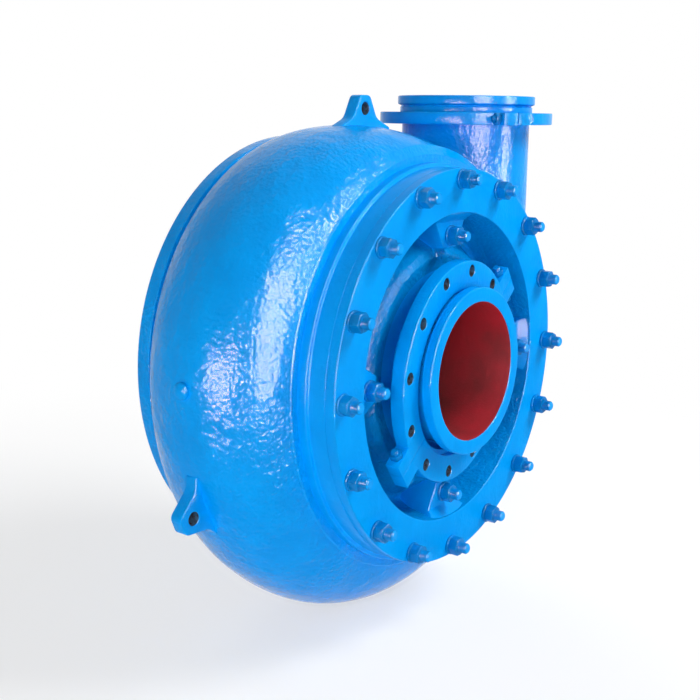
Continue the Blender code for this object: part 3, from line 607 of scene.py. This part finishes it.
def makeCollars():
    edge = collars["edge"]
    step = casingFront - collars["frontDepth"]
    shoulder = step - collars["shoulderDepth"]
    front = turnedPiece("casingFrontCollar", [
        (casing["mouth"], casingFront, 0), (collars["frontRadius"], casingFront, collars["seam"]),
        (collars["frontRadius"], step, edge), (collars["shoulderRadius"], step, edge),
        (collars["shoulderRadius"], shoulder, 1 * mm), (casing["mouth"], shoulder, 1 * mm)], 192)
    dress(front, smoothEnamel, "casing")
    top = casing["middle"] + casing["halfWidth"]
    rim = turnedPiece("casingFrontRim", [
        (casing["mouth"] + 60 * mm, top + 0.6 * mm, 0),
        (casing["frontRim"], top + 0.6 * mm, collars["rimEdge"]),
        (casing["frontRim"] + 20 * mm, top - collars["rimDepth"], 0),
        (casing["mouth"] + 60 * mm, top - collars["rimDepth"], 0)], 192)
    dress(rim, castEnamel, "casing")
    rear = turnedPiece("casingRearCollar", [
        (casing["mouth"], casingBack + collars["rearDepth"], 1 * mm),
        (collars["rearRadius"], casingBack + collars["rearDepth"], 1 * mm),
        (collars["rearRadius"], casingBack, edge), (casing["mouth"], casingBack, 1 * mm)], 192)
    dress(rear, smoothEnamel, "casing")


mouthPiece = {"lipRadius": 169.5 * mm, "lipThickness": 24 * mm, "collarRadius": 163.5 * mm,
              "collarHeight": 17 * mm, "edge": 2.5 * mm}


def makeDischargeLip():
    lipBase = dischargeTop - mouthPiece["lipThickness"]
    collarBase = lipBase - mouthPiece["collarHeight"]
    lip = turnedPiece("dischargeLip", [
        (casing["pipeBore"], dischargeTop, 2 * mm), (mouthPiece["lipRadius"], dischargeTop, 3 * mm),
        (mouthPiece["lipRadius"], lipBase + 4 * mm, mouthPiece["edge"]),
        (casing["pipeRadius"] + 1 * mm, lipBase, 3 * mm),
        (mouthPiece["collarRadius"], lipBase - 3 * mm, 2 * mm),
        (mouthPiece["collarRadius"], collarBase, 2 * mm),
        (casing["pipeBore"] + 2 * mm, collarBase, 0),
        (casing["pipeBore"] - 1 * mm, collarBase + 6 * mm, 0)], 160, place=pipePlace)
    dress(lip, smoothEnamel, "casing")

    def inside(spot, normal):
        return fromPipeAxis(spot) < casing["pipeBore"] + 1 * mm and spot.z < dischargeTop - 3 * mm

    paintInside(lip, inside, primer)


lugs = {"thickness": 30 * mm, "holeRadius": 14 * mm, "tipRound": 15 * mm, "edge": 3 * mm,
        "top": {"turn": 0.0, "offset": -24 * mm, "foot": 92 * mm, "halfWaist": 43 * mm, "waist": 18 * mm,
                "halfTip": 17.5 * mm, "height": 67 * mm, "hole": 38 * mm},
        "side": {"turn": math.radians(112.5), "offset": 0.0, "foot": 70 * mm, "halfWaist": 47 * mm,
                 "waist": 10 * mm, "halfTip": 20 * mm, "height": 67 * mm, "hole": 36 * mm}}


def makeLug(name, shape):
    reach = voluteReach(shape["turn"])
    root = reach - 30 * mm
    tip = reach + shape["height"]
    half = lugs["thickness"] / 2
    offset, foot = shape["offset"], shape["foot"]
    outline = [(offset - foot, root, 0), (offset + foot, root, 0), (offset + foot, reach - 2 * mm, 0),
               (offset + shape["halfWaist"], reach + shape["waist"], 30 * mm),
               (offset + shape["halfTip"], tip, lugs["tipRound"]),
               (offset - shape["halfTip"], tip, lugs["tipRound"]),
               (offset - shape["halfWaist"], reach + shape["waist"], 30 * mm),
               (offset - foot, reach - 2 * mm, 0)]
    place = frontView @ Matrix.Rotation(shape["turn"], 4, "Z")
    lug = prismPiece(name, outline, casing["middle"] - half, casing["middle"] + half, 6, place)
    hole = place @ Matrix.Translation((shape["offset"], reach + shape["hole"], 0))
    drill = drillTool(lugs["holeRadius"], 1.5 * mm, casing["middle"] - half, casing["middle"] + half)
    change(lug, settle(drill, hole), "DIFFERENCE")
    softEdges(lug, lugs["edge"], 3, 50)
    dress(lug, smoothEnamel, "casing")
    paintHoles(lug, hole, [Vector((0, 0))], lugs["holeRadius"] + 0.8 * mm)


plugLook = {"turn": math.radians(88), "radius": 17.5 * mm, "stem": 9 * mm, "height": 11 * mm}


def makePlug():
    turn = plugLook["turn"]
    outward = Vector((-math.sin(turn), 0, math.cos(turn)))
    seat = outward * voluteReach(turn) + Vector((0, -casing["middle"], 0))
    place = Matrix.Translation(seat) @ outward.to_track_quat("Z", "Y").to_matrix().to_4x4()
    radius, height = plugLook["radius"], plugLook["height"]
    dome = turnedPiece("casingPlug", [
        (0, height, 0), (radius * 0.5, height * 0.95, 2 * mm), (radius * 0.86, height * 0.76, 3 * mm),
        (radius, height * 0.45, 1.5 * mm), (radius, -3 * mm, 0), (plugLook["stem"], -3 * mm, 0),
        (plugLook["stem"], -14 * mm, 0), (0, -14 * mm, 0)], 48, 3, False, place)
    dress(dome, smoothEnamel, "casing", ["casing_plug"], 50)


makeCasing()
makeCollars()
makeDischargeLip()
makeLug("topLug", lugs["top"])
makeLug("sideLug", lugs["side"])
makePlug()
print("casing made")


# Front cover

cover = {
    "recess": 335.6 * mm, "depth": 105 * mm, "valleyInner": 290 * mm, "valleyOuter": 312 * mm,
    "hubRadius": 250 * mm, "hubSetback": 46 * mm, "spigot": 351.6 * mm, "plate": 25 * mm,
    "thickness": 24 * mm, "edge": 2.5 * mm,
    "bore": 165.3 * mm, "bossSetback": 25 * mm, "bossInner": 260 * mm, "bossOuter": 315 * mm,
    "bossHalf": 26 * mm, "bossFlare": 0.56, "bossFoot": 12 * mm, "bossEdge": 3 * mm,
}


def makeBoss(number):
    face = facePlace - cover["bossSetback"]
    root = facePlace - cover["depth"] - 10 * mm
    rim = facePlace - 4 * mm
    outer = cover["recess"] + 6 * mm
    profile = [(cover["bossInner"] - cover["bossFoot"], root, 0), (cover["bossInner"], face, 0),
               (cover["bossOuter"], face, 4 * mm), (cover["recess"] - 2 * mm, rim, 0),
               (outer, rim, 0), (outer, root, 0)]
    widest = cover["bossHalf"] + cover["bossFlare"] * (outer - cover["bossInner"]) + 5 * mm
    # the profile is drawn as (radius, height) and pulled sideways
    sideways = Matrix(((0, 0, 1, 0), (1, 0, 0, 0), (0, 1, 0, 0), (0, 0, 0, 1)))
    boss = prismPiece("coverBoss" + str(number + 1), profile, -widest, widest, 3, sideways)
    bpy.ops.object.mode_set(mode="EDIT")
    for hand in (-1, 1):
        bpy.ops.mesh.select_all(action="SELECT")
        bpy.ops.mesh.bisect(plane_co=(hand * cover["bossHalf"], cover["bossInner"], 0),
                            plane_no=(hand, -cover["bossFlare"], 0), use_fill=True, clear_outer=True)
    turnOutward()
    settle(boss, frontView @ Matrix.Rotation(-number * math.pi / 2, 4, "Z"))
    softEdges(boss, cover["bossEdge"], 3, 20)
    dress(boss, smoothEnamel, "casing")
    calmFlat(boss, forwardAxis)


def makeFrontCover():
    valley = facePlace - cover["depth"]
    hub = facePlace - cover["hubSetback"]
    inner = valley - cover["plate"]
    bore = cover["bore"]
    edge = cover["edge"]
    plate = turnedPiece("frontCover", [
        (bore, inner, 0), (cover["spigot"], inner, 1 * mm),
        (cover["spigot"], facePlace - cover["thickness"], 0),
        (ringRadius, facePlace - cover["thickness"] + 0.3 * mm, collars["seam"]),
        (ringRadius, facePlace, edge),
        (cover["recess"], facePlace, edge), (cover["recess"] - 12 * mm, valley + 30 * mm, 20 * mm),
        (cover["valleyOuter"], valley, 12 * mm), (cover["valleyInner"] + 8 * mm, valley, 8 * mm),
        (cover["hubRadius"] + 8 * mm, hub - 6 * mm, 14 * mm),
        (cover["hubRadius"] - 8 * mm, hub + 2 * mm, 10 * mm),
        (cover["hubRadius"] - 40 * mm, hub - 4 * mm, 20 * mm), (bore, hub - 8 * mm, 1 * mm)], 192, 6)
    dress(plate, smoothEnamel, "casing", ["front_cover"])
    calmFlat(plate, forwardAxis)

    # faces in the cover's recess, from the hub out to the ring, take the darker enamel: painted shade
    def hollow(spot, normal):
        radius = math.hypot(spot.x, spot.z)
        between = cover["hubRadius"] - 30 * mm < radius < cover["recess"] + 1 * mm
        return between and -spot.y < facePlace - 1 * mm

    paintInside(plate, hollow, recessShadeEnamel)
    for number in range(4):
        makeBoss(number)


suction = {"bore": 150 * mm, "neck": 165 * mm, "lip": 181 * mm, "lipThickness": 22 * mm, "edge": 3 * mm}


def makeSuctionPipe():
    back = -pipeHigh.y
    lipBack = lipPlace - suction["lipThickness"]
    pipe = turnedPiece("suctionPipe", [
        (suction["bore"], lipPlace, 3 * mm), (suction["lip"], lipPlace, suction["edge"]),
        (suction["lip"], lipBack, 2.5 * mm), (suction["neck"], lipBack - 6 * mm, 3 * mm),
        (suction["neck"], back, 1 * mm), (suction["bore"], back, 1 * mm)], 192, 5)
    dress(pipe, smoothEnamel, "casing", ["suction_pipe"])
    calmFlat(pipe, forwardAxis)

    def inside(spot, normal):
        return math.hypot(spot.x, spot.z) < suction["bore"] + 0.6 * mm and -spot.y < lipPlace - 2.4 * mm

    paintInside(pipe, inside, primer)


makeFrontCover()
makeSuctionPipe()
print("cover and suction pipe made")


# Loose flanges, each in two halves with clamp bolts

clamp = {"earWidth": 35 * mm, "earReach": 48 * mm, "earRoot": 22 * mm, "boltRadius": 8 * mm,
         "headHalf": 12 * mm, "headHeight": 11 * mm, "nutHeight": 13 * mm, "tip": 7 * mm, "edge": 1.6 * mm,
         "gap": 0.3 * mm, "pitch": 2.2 * mm, "threadDepth": 0.6 * mm}


def hexPiece(name, half, low, high, chamfer=1.4 * mm):
    # a hexagonal prism whose corners are turned down at both ends
    corner = half / math.cos(math.pi / 6)
    deselectAll()
    bpy.ops.mesh.primitive_cylinder_add(vertices=6, radius=corner, depth=high - low,
                                        location=(0, 0, (low + high) / 2))
    piece = bpy.context.object
    piece.name = name
    settle(piece)
    drop = chamfer * 1.2
    cone = turnedPiece("turnDown", [
        (0, low, 0), (half * 0.985, low, 0), (corner + chamfer, low + drop, 0),
        (corner + chamfer, high - drop, 0), (half * 0.985, high, 0), (0, high, 0)],
        48, 1, False, Matrix.Identity(4))
    change(piece, cone, "INTERSECT")
    softEdges(piece, 0.6 * mm, 2, 25)
    return piece


def threadCorners(radius, low, high, pitch, depth):
    # outline of a thread's ridges from low to high
    corners = []
    count = int((high - low) / pitch)
    step = (high - low) / count
    for ridge in range(count):
        base = low + step * ridge
        corners += [(radius - depth, base, 0), (radius, base + step * 0.45, 0)]
    return corners


def clampBoltMesh():
    reach = clamp["earWidth"] + clamp["gap"]
    head = hexPiece("clampHead", clamp["headHalf"], -reach - clamp["headHeight"], -reach)
    nut = hexPiece("clampNut", clamp["headHalf"], reach, reach + clamp["nutHeight"])
    top = reach + clamp["nutHeight"]
    tip = top + clamp["tip"]
    radius = clamp["boltRadius"]
    foot = -reach - 1 * mm
    shank = turnedPiece("clampShank", [(0, foot, 0), (radius, foot, 0), (radius, reach, 0)]
                        + threadCorners(radius, reach, tip - 1.5 * mm, clamp["pitch"], clamp["threadDepth"])
                        + [(radius - 1.6 * mm, tip, 0), (0, tip, 0)],
                        28, 1, False, Matrix.Identity(4))
    return joined("clampBolt", [head, nut, shank])


def makeLooseFlange(look, place, body, halves, boltName):
    # body names the body the pieces hang from; halves are the names of the pieces and of their nodes
    half = look["thickness"] / 2
    disc = turnedPiece("disc", [
        (look["recess"], half, 1.5 * mm), (look["radius"], half, 2.5 * mm), (look["radius"], -half, 2 * mm),
        (look["bore"], -half, 1.5 * mm), (look["bore"], half - look["recessDepth"], 0.4 * mm),
        (look["recess"], half - look["recessDepth"], 0.4 * mm)], 144, 3, place=Matrix.Identity(4))
    near = look["radius"] - clamp["earRoot"]
    far = look["radius"] + clamp["earReach"]
    for hand in (-1, 1):
        deselectAll()
        bpy.ops.mesh.primitive_cube_add(size=1, location=(hand * (near + far) / 2, 0, 0))
        ear = bpy.context.object
        ear.scale = (far - near, 2 * clamp["earWidth"], look["thickness"] - 0.8 * mm)
        settle(ear)
        change(disc, ear, "UNION")
    holes = circlePlaces(look["holeCircle"], look["holes"], math.radians(15))
    for hole in holes:
        drill = drillTool(look["holeRadius"], 1.2 * mm, -half, half, 28)
        change(disc, settle(drill, Matrix.Translation(hole.to_3d())), "DIFFERENCE")
    for (name, node), side in zip(halves, (1, -1)):
        piece = copyOf(disc, name, Matrix.Identity(4))
        editAll()
        bpy.ops.mesh.bisect(plane_co=(0, side * look["gap"] / 2, 0), plane_no=(0, side, 0),
                            use_fill=True, clear_inner=True)
        bpy.ops.object.mode_set(mode="OBJECT")
        softEdges(piece, clamp["edge"], 3, 50)
        settle(piece, place)
        dress(piece, smoothEnamel, body, [node])
        calmFlat(piece, place.to_3x3() @ Vector((0, 0, 1)))
        paintHoles(piece, place, holes, look["holeRadius"] + 1 * mm)
    bpy.data.objects.remove(disc, do_unlink=True)
    bolt = clampBoltMesh()
    boltPlace = (look["radius"] + far) / 2
    for number, hand in ((1, 1), (2, -1)):
        spot = place @ Matrix.Translation((hand * boltPlace, 0, 0)) @ Matrix.Rotation(-math.pi / 2, 4, "X")
        twin = copyOf(bolt, boltName + str(number), spot)
        dress(twin, shadedBoltEnamel, body, [body + "_bolt_" + str(number)])
    bpy.data.objects.remove(bolt, do_unlink=True)


suctionFlange = {"radius": 242.5 * mm, "thickness": 31 * mm, "bore": 173.5 * mm, "recess": 183.6 * mm,
                 "recessDepth": 15 * mm, "holes": 12, "holeCircle": 220 * mm, "holeRadius": 13 * mm,
                 "gap": 0.8 * mm, "swing": math.radians(4.0), "lean": math.radians(1.7),
                 "turn": math.radians(-52)}
dischargeFlange = {"radius": 213 * mm, "thickness": 28 * mm, "bore": 158.5 * mm, "recess": 164.5 * mm,
                   "recessDepth": 2 * mm, "holes": 12, "holeCircle": 188 * mm, "holeRadius": 11 * mm,
                   "gap": 3 * mm, "turn": math.radians(58.6)}


def jointPlace(name):
    joint = [one for one in frame["joints"] if one["name"] == name][0]
    return Vector(joint["pos_m"])


def makeFlanges():
    look = suctionFlange
    place = (Matrix.Translation(jointPlace("suction_flange_turn")) @ Matrix.Rotation(look["swing"], 4, "Z")
             @ Matrix.Rotation(math.pi / 2 + look["lean"], 4, "X")
             @ Matrix.Rotation(math.pi / 2 + look["turn"], 4, "Z"))
    makeLooseFlange(look, place, "suction_flange", (
        ("suctionFlangeUpper", "suction_flange_upper"),
        ("suctionFlangeLower", "suction_flange_lower")), "suctionClampBolt")
    look = dischargeFlange
    place = Matrix.Translation(jointPlace("discharge_flange_turn")) @ Matrix.Rotation(look["turn"], 4, "Z")
    makeLooseFlange(look, place, "discharge_flange", (
        ("dischargeFlangeLeft", "discharge_flange_left"),
        ("dischargeFlangeRight", "discharge_flange_right")), "dischargeClampBolt")


makeFlanges()
print("loose flanges made")


# Rear cover, stuffing box, gland and shaft line

rear = {"radius": 486 * mm, "thickness": 35.7 * mm, "edge": 4 * mm, "spigot": 350 * mm, "inner": 84 * mm,
        "relief": 2 * mm, "studCircle": 425 * mm, "reliefHalf": 28 * mm, "gap": 0.3 * mm}
box = {"flange": 165 * mm, "flangeThickness": 22 * mm, "radius": 110.3 * mm, "rimRadius": 142.3 * mm,
       "rim": -72 * mm, "rimThickness": 18 * mm, "bore": 85.3 * mm, "floor": 54 * mm, "throat": 67 * mm}


def makeRear():
    # the outer face is relieved round the studs and under the flange of the stuffing box
    relief = rear["relief"]
    bore = box["radius"] + rear["gap"]
    outside = rear["studCircle"] + rear["reliefHalf"]
    inside = rear["studCircle"] - rear["reliefHalf"]
    register = box["flange"] + 5 * mm
    plate = turnedPiece("rearCover", [
        (bore, rear["inner"], 1 * mm), (rear["spigot"], rear["inner"], 1 * mm),
        (rear["spigot"], rear["thickness"], 0), (rear["radius"], rear["thickness"], 2 * mm),
        (rear["radius"], 0, rear["edge"]), (outside, 0, 0.6 * mm), (outside, relief, 0.6 * mm),
        (inside, relief, 0.6 * mm), (inside, 0, 0.6 * mm), (register, 0, 0.6 * mm),
        (register, relief, 0.6 * mm), (bore, relief, 0.3 * mm)], 192, 4)
    dress(plate, castEnamel, "casing", ["rear_cover"])


def makeStuffingBox():
    radius, rim, bore = box["radius"], box["rim"], box["bore"]
    seat = rear["relief"] - rear["gap"]
    flangeBack = -box["flangeThickness"]
    collar = rim + box["rimThickness"]
    piece = turnedPiece("stuffingBox", [
        (bore, box["floor"], 0), (box["throat"], box["floor"], 0), (box["throat"], rear["inner"], 0),
        (radius, rear["inner"], 1 * mm), (radius, seat, 0), (box["flange"], seat, 2 * mm),
        (box["flange"], flangeBack, 3 * mm), (radius, flangeBack, 6 * mm), (radius, collar, 5 * mm),
        (box["rimRadius"], collar, 2 * mm), (box["rimRadius"], rim, 2 * mm), (bore, rim, 1 * mm)], 96, 4)
    dress(piece, castEnamel, "casing", ["stuffing_box"])


shaftLook = {"nose": 40 * mm, "noseEdge": 4 * mm, "radius": 50 * mm, "step": 62 * mm,
             "stepPlace": -162 * mm, "end": 4 * mm, "behindNose": 60 * mm, "sleeve": 65 * mm,
             "sleeveBore": 50.3 * mm, "edge": 0.8 * mm}


def makeShaft():
    noseLow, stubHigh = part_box("shaft")
    sleeveLow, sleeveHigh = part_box("shaft_sleeve")
    nose, stub = -noseLow.y, -stubHigh.y
    back = nose - shaftLook["behindNose"]
    edge, radius, step = shaftLook["edge"], shaftLook["radius"], shaftLook["step"]
    shaft = turnedPiece("pumpShaft", [
        (0, nose, 0), (shaftLook["nose"] - 2 * mm, nose, 0),
        (shaftLook["nose"], nose - shaftLook["noseEdge"], 0), (shaftLook["nose"], back + 2 * mm, 0),
        (radius, back, 0), (radius, shaftLook["stepPlace"], 0), (step, shaftLook["stepPlace"], edge),
        (step, stub + shaftLook["end"], edge), (step - shaftLook["end"], stub, edge), (0, stub, 0)],
        96, 3, False)
    dress(shaft, steel, "rotor", ["shaft"])
    sleeve = turnedPiece("shaftSleeve", [
        (shaftLook["sleeveBore"], -sleeveLow.y, 0), (shaftLook["sleeve"], -sleeveLow.y, edge),
        (shaftLook["sleeve"], -sleeveHigh.y, edge), (shaftLook["sleeveBore"], -sleeveHigh.y, 0)], 96, 3)
    dress(sleeve, steel, "rotor", ["shaft_sleeve"])


def dressNode(name, node, material, body):
    # a CAD node's twin, merged and shaded smooth
    source = frame["nodes"][node]
    twin = source.copy()
    twin.data = source.data.copy()
    twin.name = name
    twin.parent = None
    for key in list(twin.keys()):
        del twin[key]
    bpy.context.scene.collection.objects.link(twin)
    pick(twin)
    editAll()
    bpy.ops.mesh.remove_doubles(threshold=weldGap / 3)
    bpy.ops.object.mode_set(mode="OBJECT")
    dress(twin, material, body, [node], 24)


makeRear()
makeStuffingBox()
dressNode("packingGland", "packing_gland", castEnamel, "gland")
for number in (1, 2):
    dressNode("glandNut" + str(number), "gland_nut_" + str(number), steel, "gland")
    dressNode("glandStud" + str(number), "gland_stud_" + str(number), steel, "casing")
for number in (1, 2, 3):
    dressNode("packingRing" + str(number), "packing_ring_" + str(number), rope, "casing")
dressNode("lanternRing", "lantern_ring", steel, "casing")
dressNode("frontLiner", "front_liner", primer, "casing")
dressNode("rearLiner", "rear_liner", iron, "casing")
dressNode("pumpImpeller", "impeller", iron, "rotor")
makeShaft()
print("rear end and wet parts dressed")


# Studs with nuts and washers

stud = {"radius": 12 * mm, "reach": 46 * mm, "nutHalf": 18 * mm, "nutHeight": 21 * mm,
        "washer": 22 * mm, "washerThickness": 5 * mm, "gap": 0.3 * mm, "pitch": 3 * mm,
        "threadDepth": 0.8 * mm}


def studMesh(withWasher):
    base = stud["gap"]
    parts = []
    if withWasher:
        parts.append(turnedPiece("washer", [
            (stud["radius"] - 2 * mm, base, 0), (stud["washer"], base, 1 * mm),
            (stud["washer"], base + stud["washerThickness"], 1.6 * mm),
            (stud["radius"] - 2 * mm, base + stud["washerThickness"], 0)], 40, 3,
            place=Matrix.Identity(4)))
        base += stud["washerThickness"]
    top = base + stud["nutHeight"]
    parts.append(hexPiece("nut", stud["nutHalf"], base, top, 2.2 * mm))
    radius = stud["radius"]
    parts.append(turnedPiece("studEnd", [(0, -6 * mm, 0), (radius, -6 * mm, 0), (radius, top - 1 * mm, 0)]
                             + threadCorners(radius, top - 1 * mm, stud["reach"] - 2.5 * mm,
                                             stud["pitch"], stud["threadDepth"])
                             + [(radius - 1 * mm, stud["reach"] - 2.4 * mm, 0),
                                (radius - 3.4 * mm, stud["reach"], 0), (0, stud["reach"], 0)],
                             32, 1, False, Matrix.Identity(4)))
    return joined("stud", parts)


def placeStuds(master, prefix, nodePrefix, count, digits, seat, turn):
    for number in range(1, count + 1):
        node = nodePrefix + str(number).zfill(digits)
        low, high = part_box(node)
        middle = (low + high) / 2
        place = (Matrix.Translation((middle.x, seat, middle.z)) @ turn
                 @ Matrix.Rotation(math.radians(37 * number), 4, "Z"))
        twin = copyOf(master, prefix + str(number), place)
        dress(twin, shadedBoltEnamel, "casing", [node], 40)
        # the stud tips take the casing's lighter blue enamel: a painted glint on the stud ends
        paintInside(twin, lambda spot, normal: abs(spot.y - seat) > stud["reach"] - 3 * mm, smoothEnamel)


def makeStuds():
    master = studMesh(True)
    placeStuds(master, "coverStud", "cover_stud_", 16, 2, -facePlace, frontView)
    placeStuds(master, "linerStud", "liner_stud_", 4, 1, -(facePlace - cover["bossSetback"]), frontView)
    bpy.data.objects.remove(master, do_unlink=True)
    bare = studMesh(False)
    backward = Matrix.Rotation(-math.pi / 2, 4, "X")
    placeStuds(bare, "rearStud", "rear_stud_", 8, 1, -rear["relief"], backward)
    bpy.data.objects.remove(bare, do_unlink=True)


makeStuds()
print("studs made")


# Camera, light and floor

view = {"place": (-2.0196, -1.7052, 0.5367), "azimuth": -53.08, "tilt": 78.01, "roll": 0.66,
        "lens": 57.24, "ambient": 0.2}


def makeCamera():
    bpy.ops.object.camera_add()
    camera = bpy.context.object
    camera.matrix_world = (Matrix.Translation(view["place"])
                           @ Matrix.Rotation(math.radians(view["azimuth"]), 4, "Z")
                           @ Matrix.Rotation(math.radians(view["tilt"]), 4, "X")
                           @ Matrix.Rotation(math.radians(view["roll"]), 4, "Z"))
    camera.data.sensor_width = 36
    camera.data.lens = view["lens"]
    camera.data.clip_end = 60
    bpy.context.scene.camera = camera


# azimuth is seen from above, 270 being straight in front of the pump; low and high are heights
windows = [
    {"name": "paneSide", "azimuth": 196, "distance": 3.2, "width": 1.8, "low": -0.85, "high": 0.4,
     "radiance": 100, "colour": (1.0, 0.88, 0.93)},
    {"name": "paneFront", "azimuth": 245, "distance": 4.6, "width": 2.4, "low": -1.3, "high": 4.3,
     "radiance": 100, "colour": (0.97, 0.96, 1.0)},
    {"name": "paneRight", "azimuth": 292, "distance": 4.6, "width": 1.2, "low": -1.3, "high": 4.1,
     "radiance": 100, "colour": (0.93, 0.97, 1.0)},
]
softLamps = [
    {"name": "frontKey", "place": (1.96, -2.80, 3.08), "size": 1.8, "level": 0.96},
    {"name": "cameraFill", "place": (-4.28, -2.0, 0.83), "size": 2.6, "level": 0.53},
    {"name": "lowFill", "place": (-1.4, -4.4, -0.2), "size": 1.6, "level": 0.12},
    {"name": "backFill", "place": (2.7, 3.6, 1.9), "size": 2.4, "level": 0.5},
]
floorLook = {"size": 16, "drop": 2 * mm, "colour": (0.86, 0.86, 0.86), "white": 0.6, "near": 0.9, "far": 2.2}


def areaLamp(name, place, aim, width, height, radiance, colour):
    data = bpy.data.lights.new(name, "AREA")
    data.shape = "RECTANGLE"
    data.size, data.size_y = width, height
    data.energy = radiance * math.pi * width * height
    data.color = colour
    light = bpy.data.objects.new(name, data)
    bpy.context.scene.collection.objects.link(light)
    light.location = place
    light.rotation_euler = (aim - light.location).to_track_quat("-Z", "Y").to_euler()
    return light


def makeWindows():
    # tall panes that show only in the gloss
    for pane in windows:
        turn = math.radians(pane["azimuth"])
        height = pane["high"] - pane["low"]
        level = (pane["high"] + pane["low"]) / 2
        place = Vector((pane["distance"] * math.cos(turn), pane["distance"] * math.sin(turn), level))
        light = areaLamp(pane["name"], place, Vector((0, 0, level)), pane["width"], height,
                         pane["radiance"], pane["colour"])
        light.visible_diffuse = False


def makeSoftLamps():
    # level is the light that reaches a surface facing the lamp, where 1 renders a colour as written
    for lamp in softLamps:
        place = Vector(lamp["place"])
        spread = lamp["size"] ** 2 / place.length_squared
        light = areaLamp(lamp["name"], place, Vector((0, 0, 0)), lamp["size"], lamp["size"],
                         lamp["level"] * math.pi / spread, (1, 1, 1))
        light.visible_glossy = False


def makeWorld():
    world = bpy.data.worlds.new("studio")
    bpy.context.scene.world = world
    world.use_nodes = True
    tree = world.node_tree
    background = tree.nodes["Background"]
    background.inputs["Color"].default_value = (1, 1, 1, 1)
    path = Wire(tree).node("ShaderNodeLightPath", output="Is Camera Ray")
    glossy = Wire(tree, path.socket.node.outputs["Is Glossy Ray"])
    through = Wire(tree, path.socket.node.outputs["Is Transmission Ray"])
    seen = path.maths("MAXIMUM", path.maths("MAXIMUM", path, glossy), through)
    tree.links.new((view["ambient"] + seen * (1 - view["ambient"])).socket, background.inputs["Strength"])


def makeFloor():
    # pale grey that keeps the pump's shadow and turns to even white away from it
    deselectAll()
    bpy.ops.mesh.primitive_plane_add(size=floorLook["size"],
                                     location=(0, 0, cadBounds[0][2] - floorLook["drop"]))
    floor = bpy.context.object
    floor.name = "studioFloor"
    material, shader, place = startMaterial("studioFloor")
    shader.inputs["Base Color"].default_value = (*floorLook["colour"], 1)
    shader.inputs["Roughness"].default_value = 0.9
    shader.inputs["Specular IOR Level"].default_value = 0.0
    away = place.node("ShaderNodeVectorMath", {"operation": "LENGTH"}, {0: place}, "Value")
    camera = place.node("ShaderNodeLightPath", output="Is Camera Ray")
    spread = away.node("ShaderNodeMapRange", {"interpolation_type": "SMOOTHSTEP"},
                       {"Value": away, "From Min": floorLook["near"], "From Max": floorLook["far"],
                        "To Min": floorLook["white"]})
    white = place.node("ShaderNodeEmission", None, {"Color": (1, 1, 1, 1), "Strength": 1.0})
    plain = Wire(place.tree, shader.outputs["BSDF"])
    mixed = place.node("ShaderNodeMixShader", None, {0: spread * camera, 1: plain, 2: white})
    plug(mixed, place.tree.nodes["Material Output"], "Surface")
    floor.data.materials.append(material)
    floor.visible_glossy = False


makeCamera()
makeWindows()
makeSoftLamps()
makeWorld()
makeFloor()
bpy.context.scene.view_settings.view_transform = "Standard"
print("scene ready")
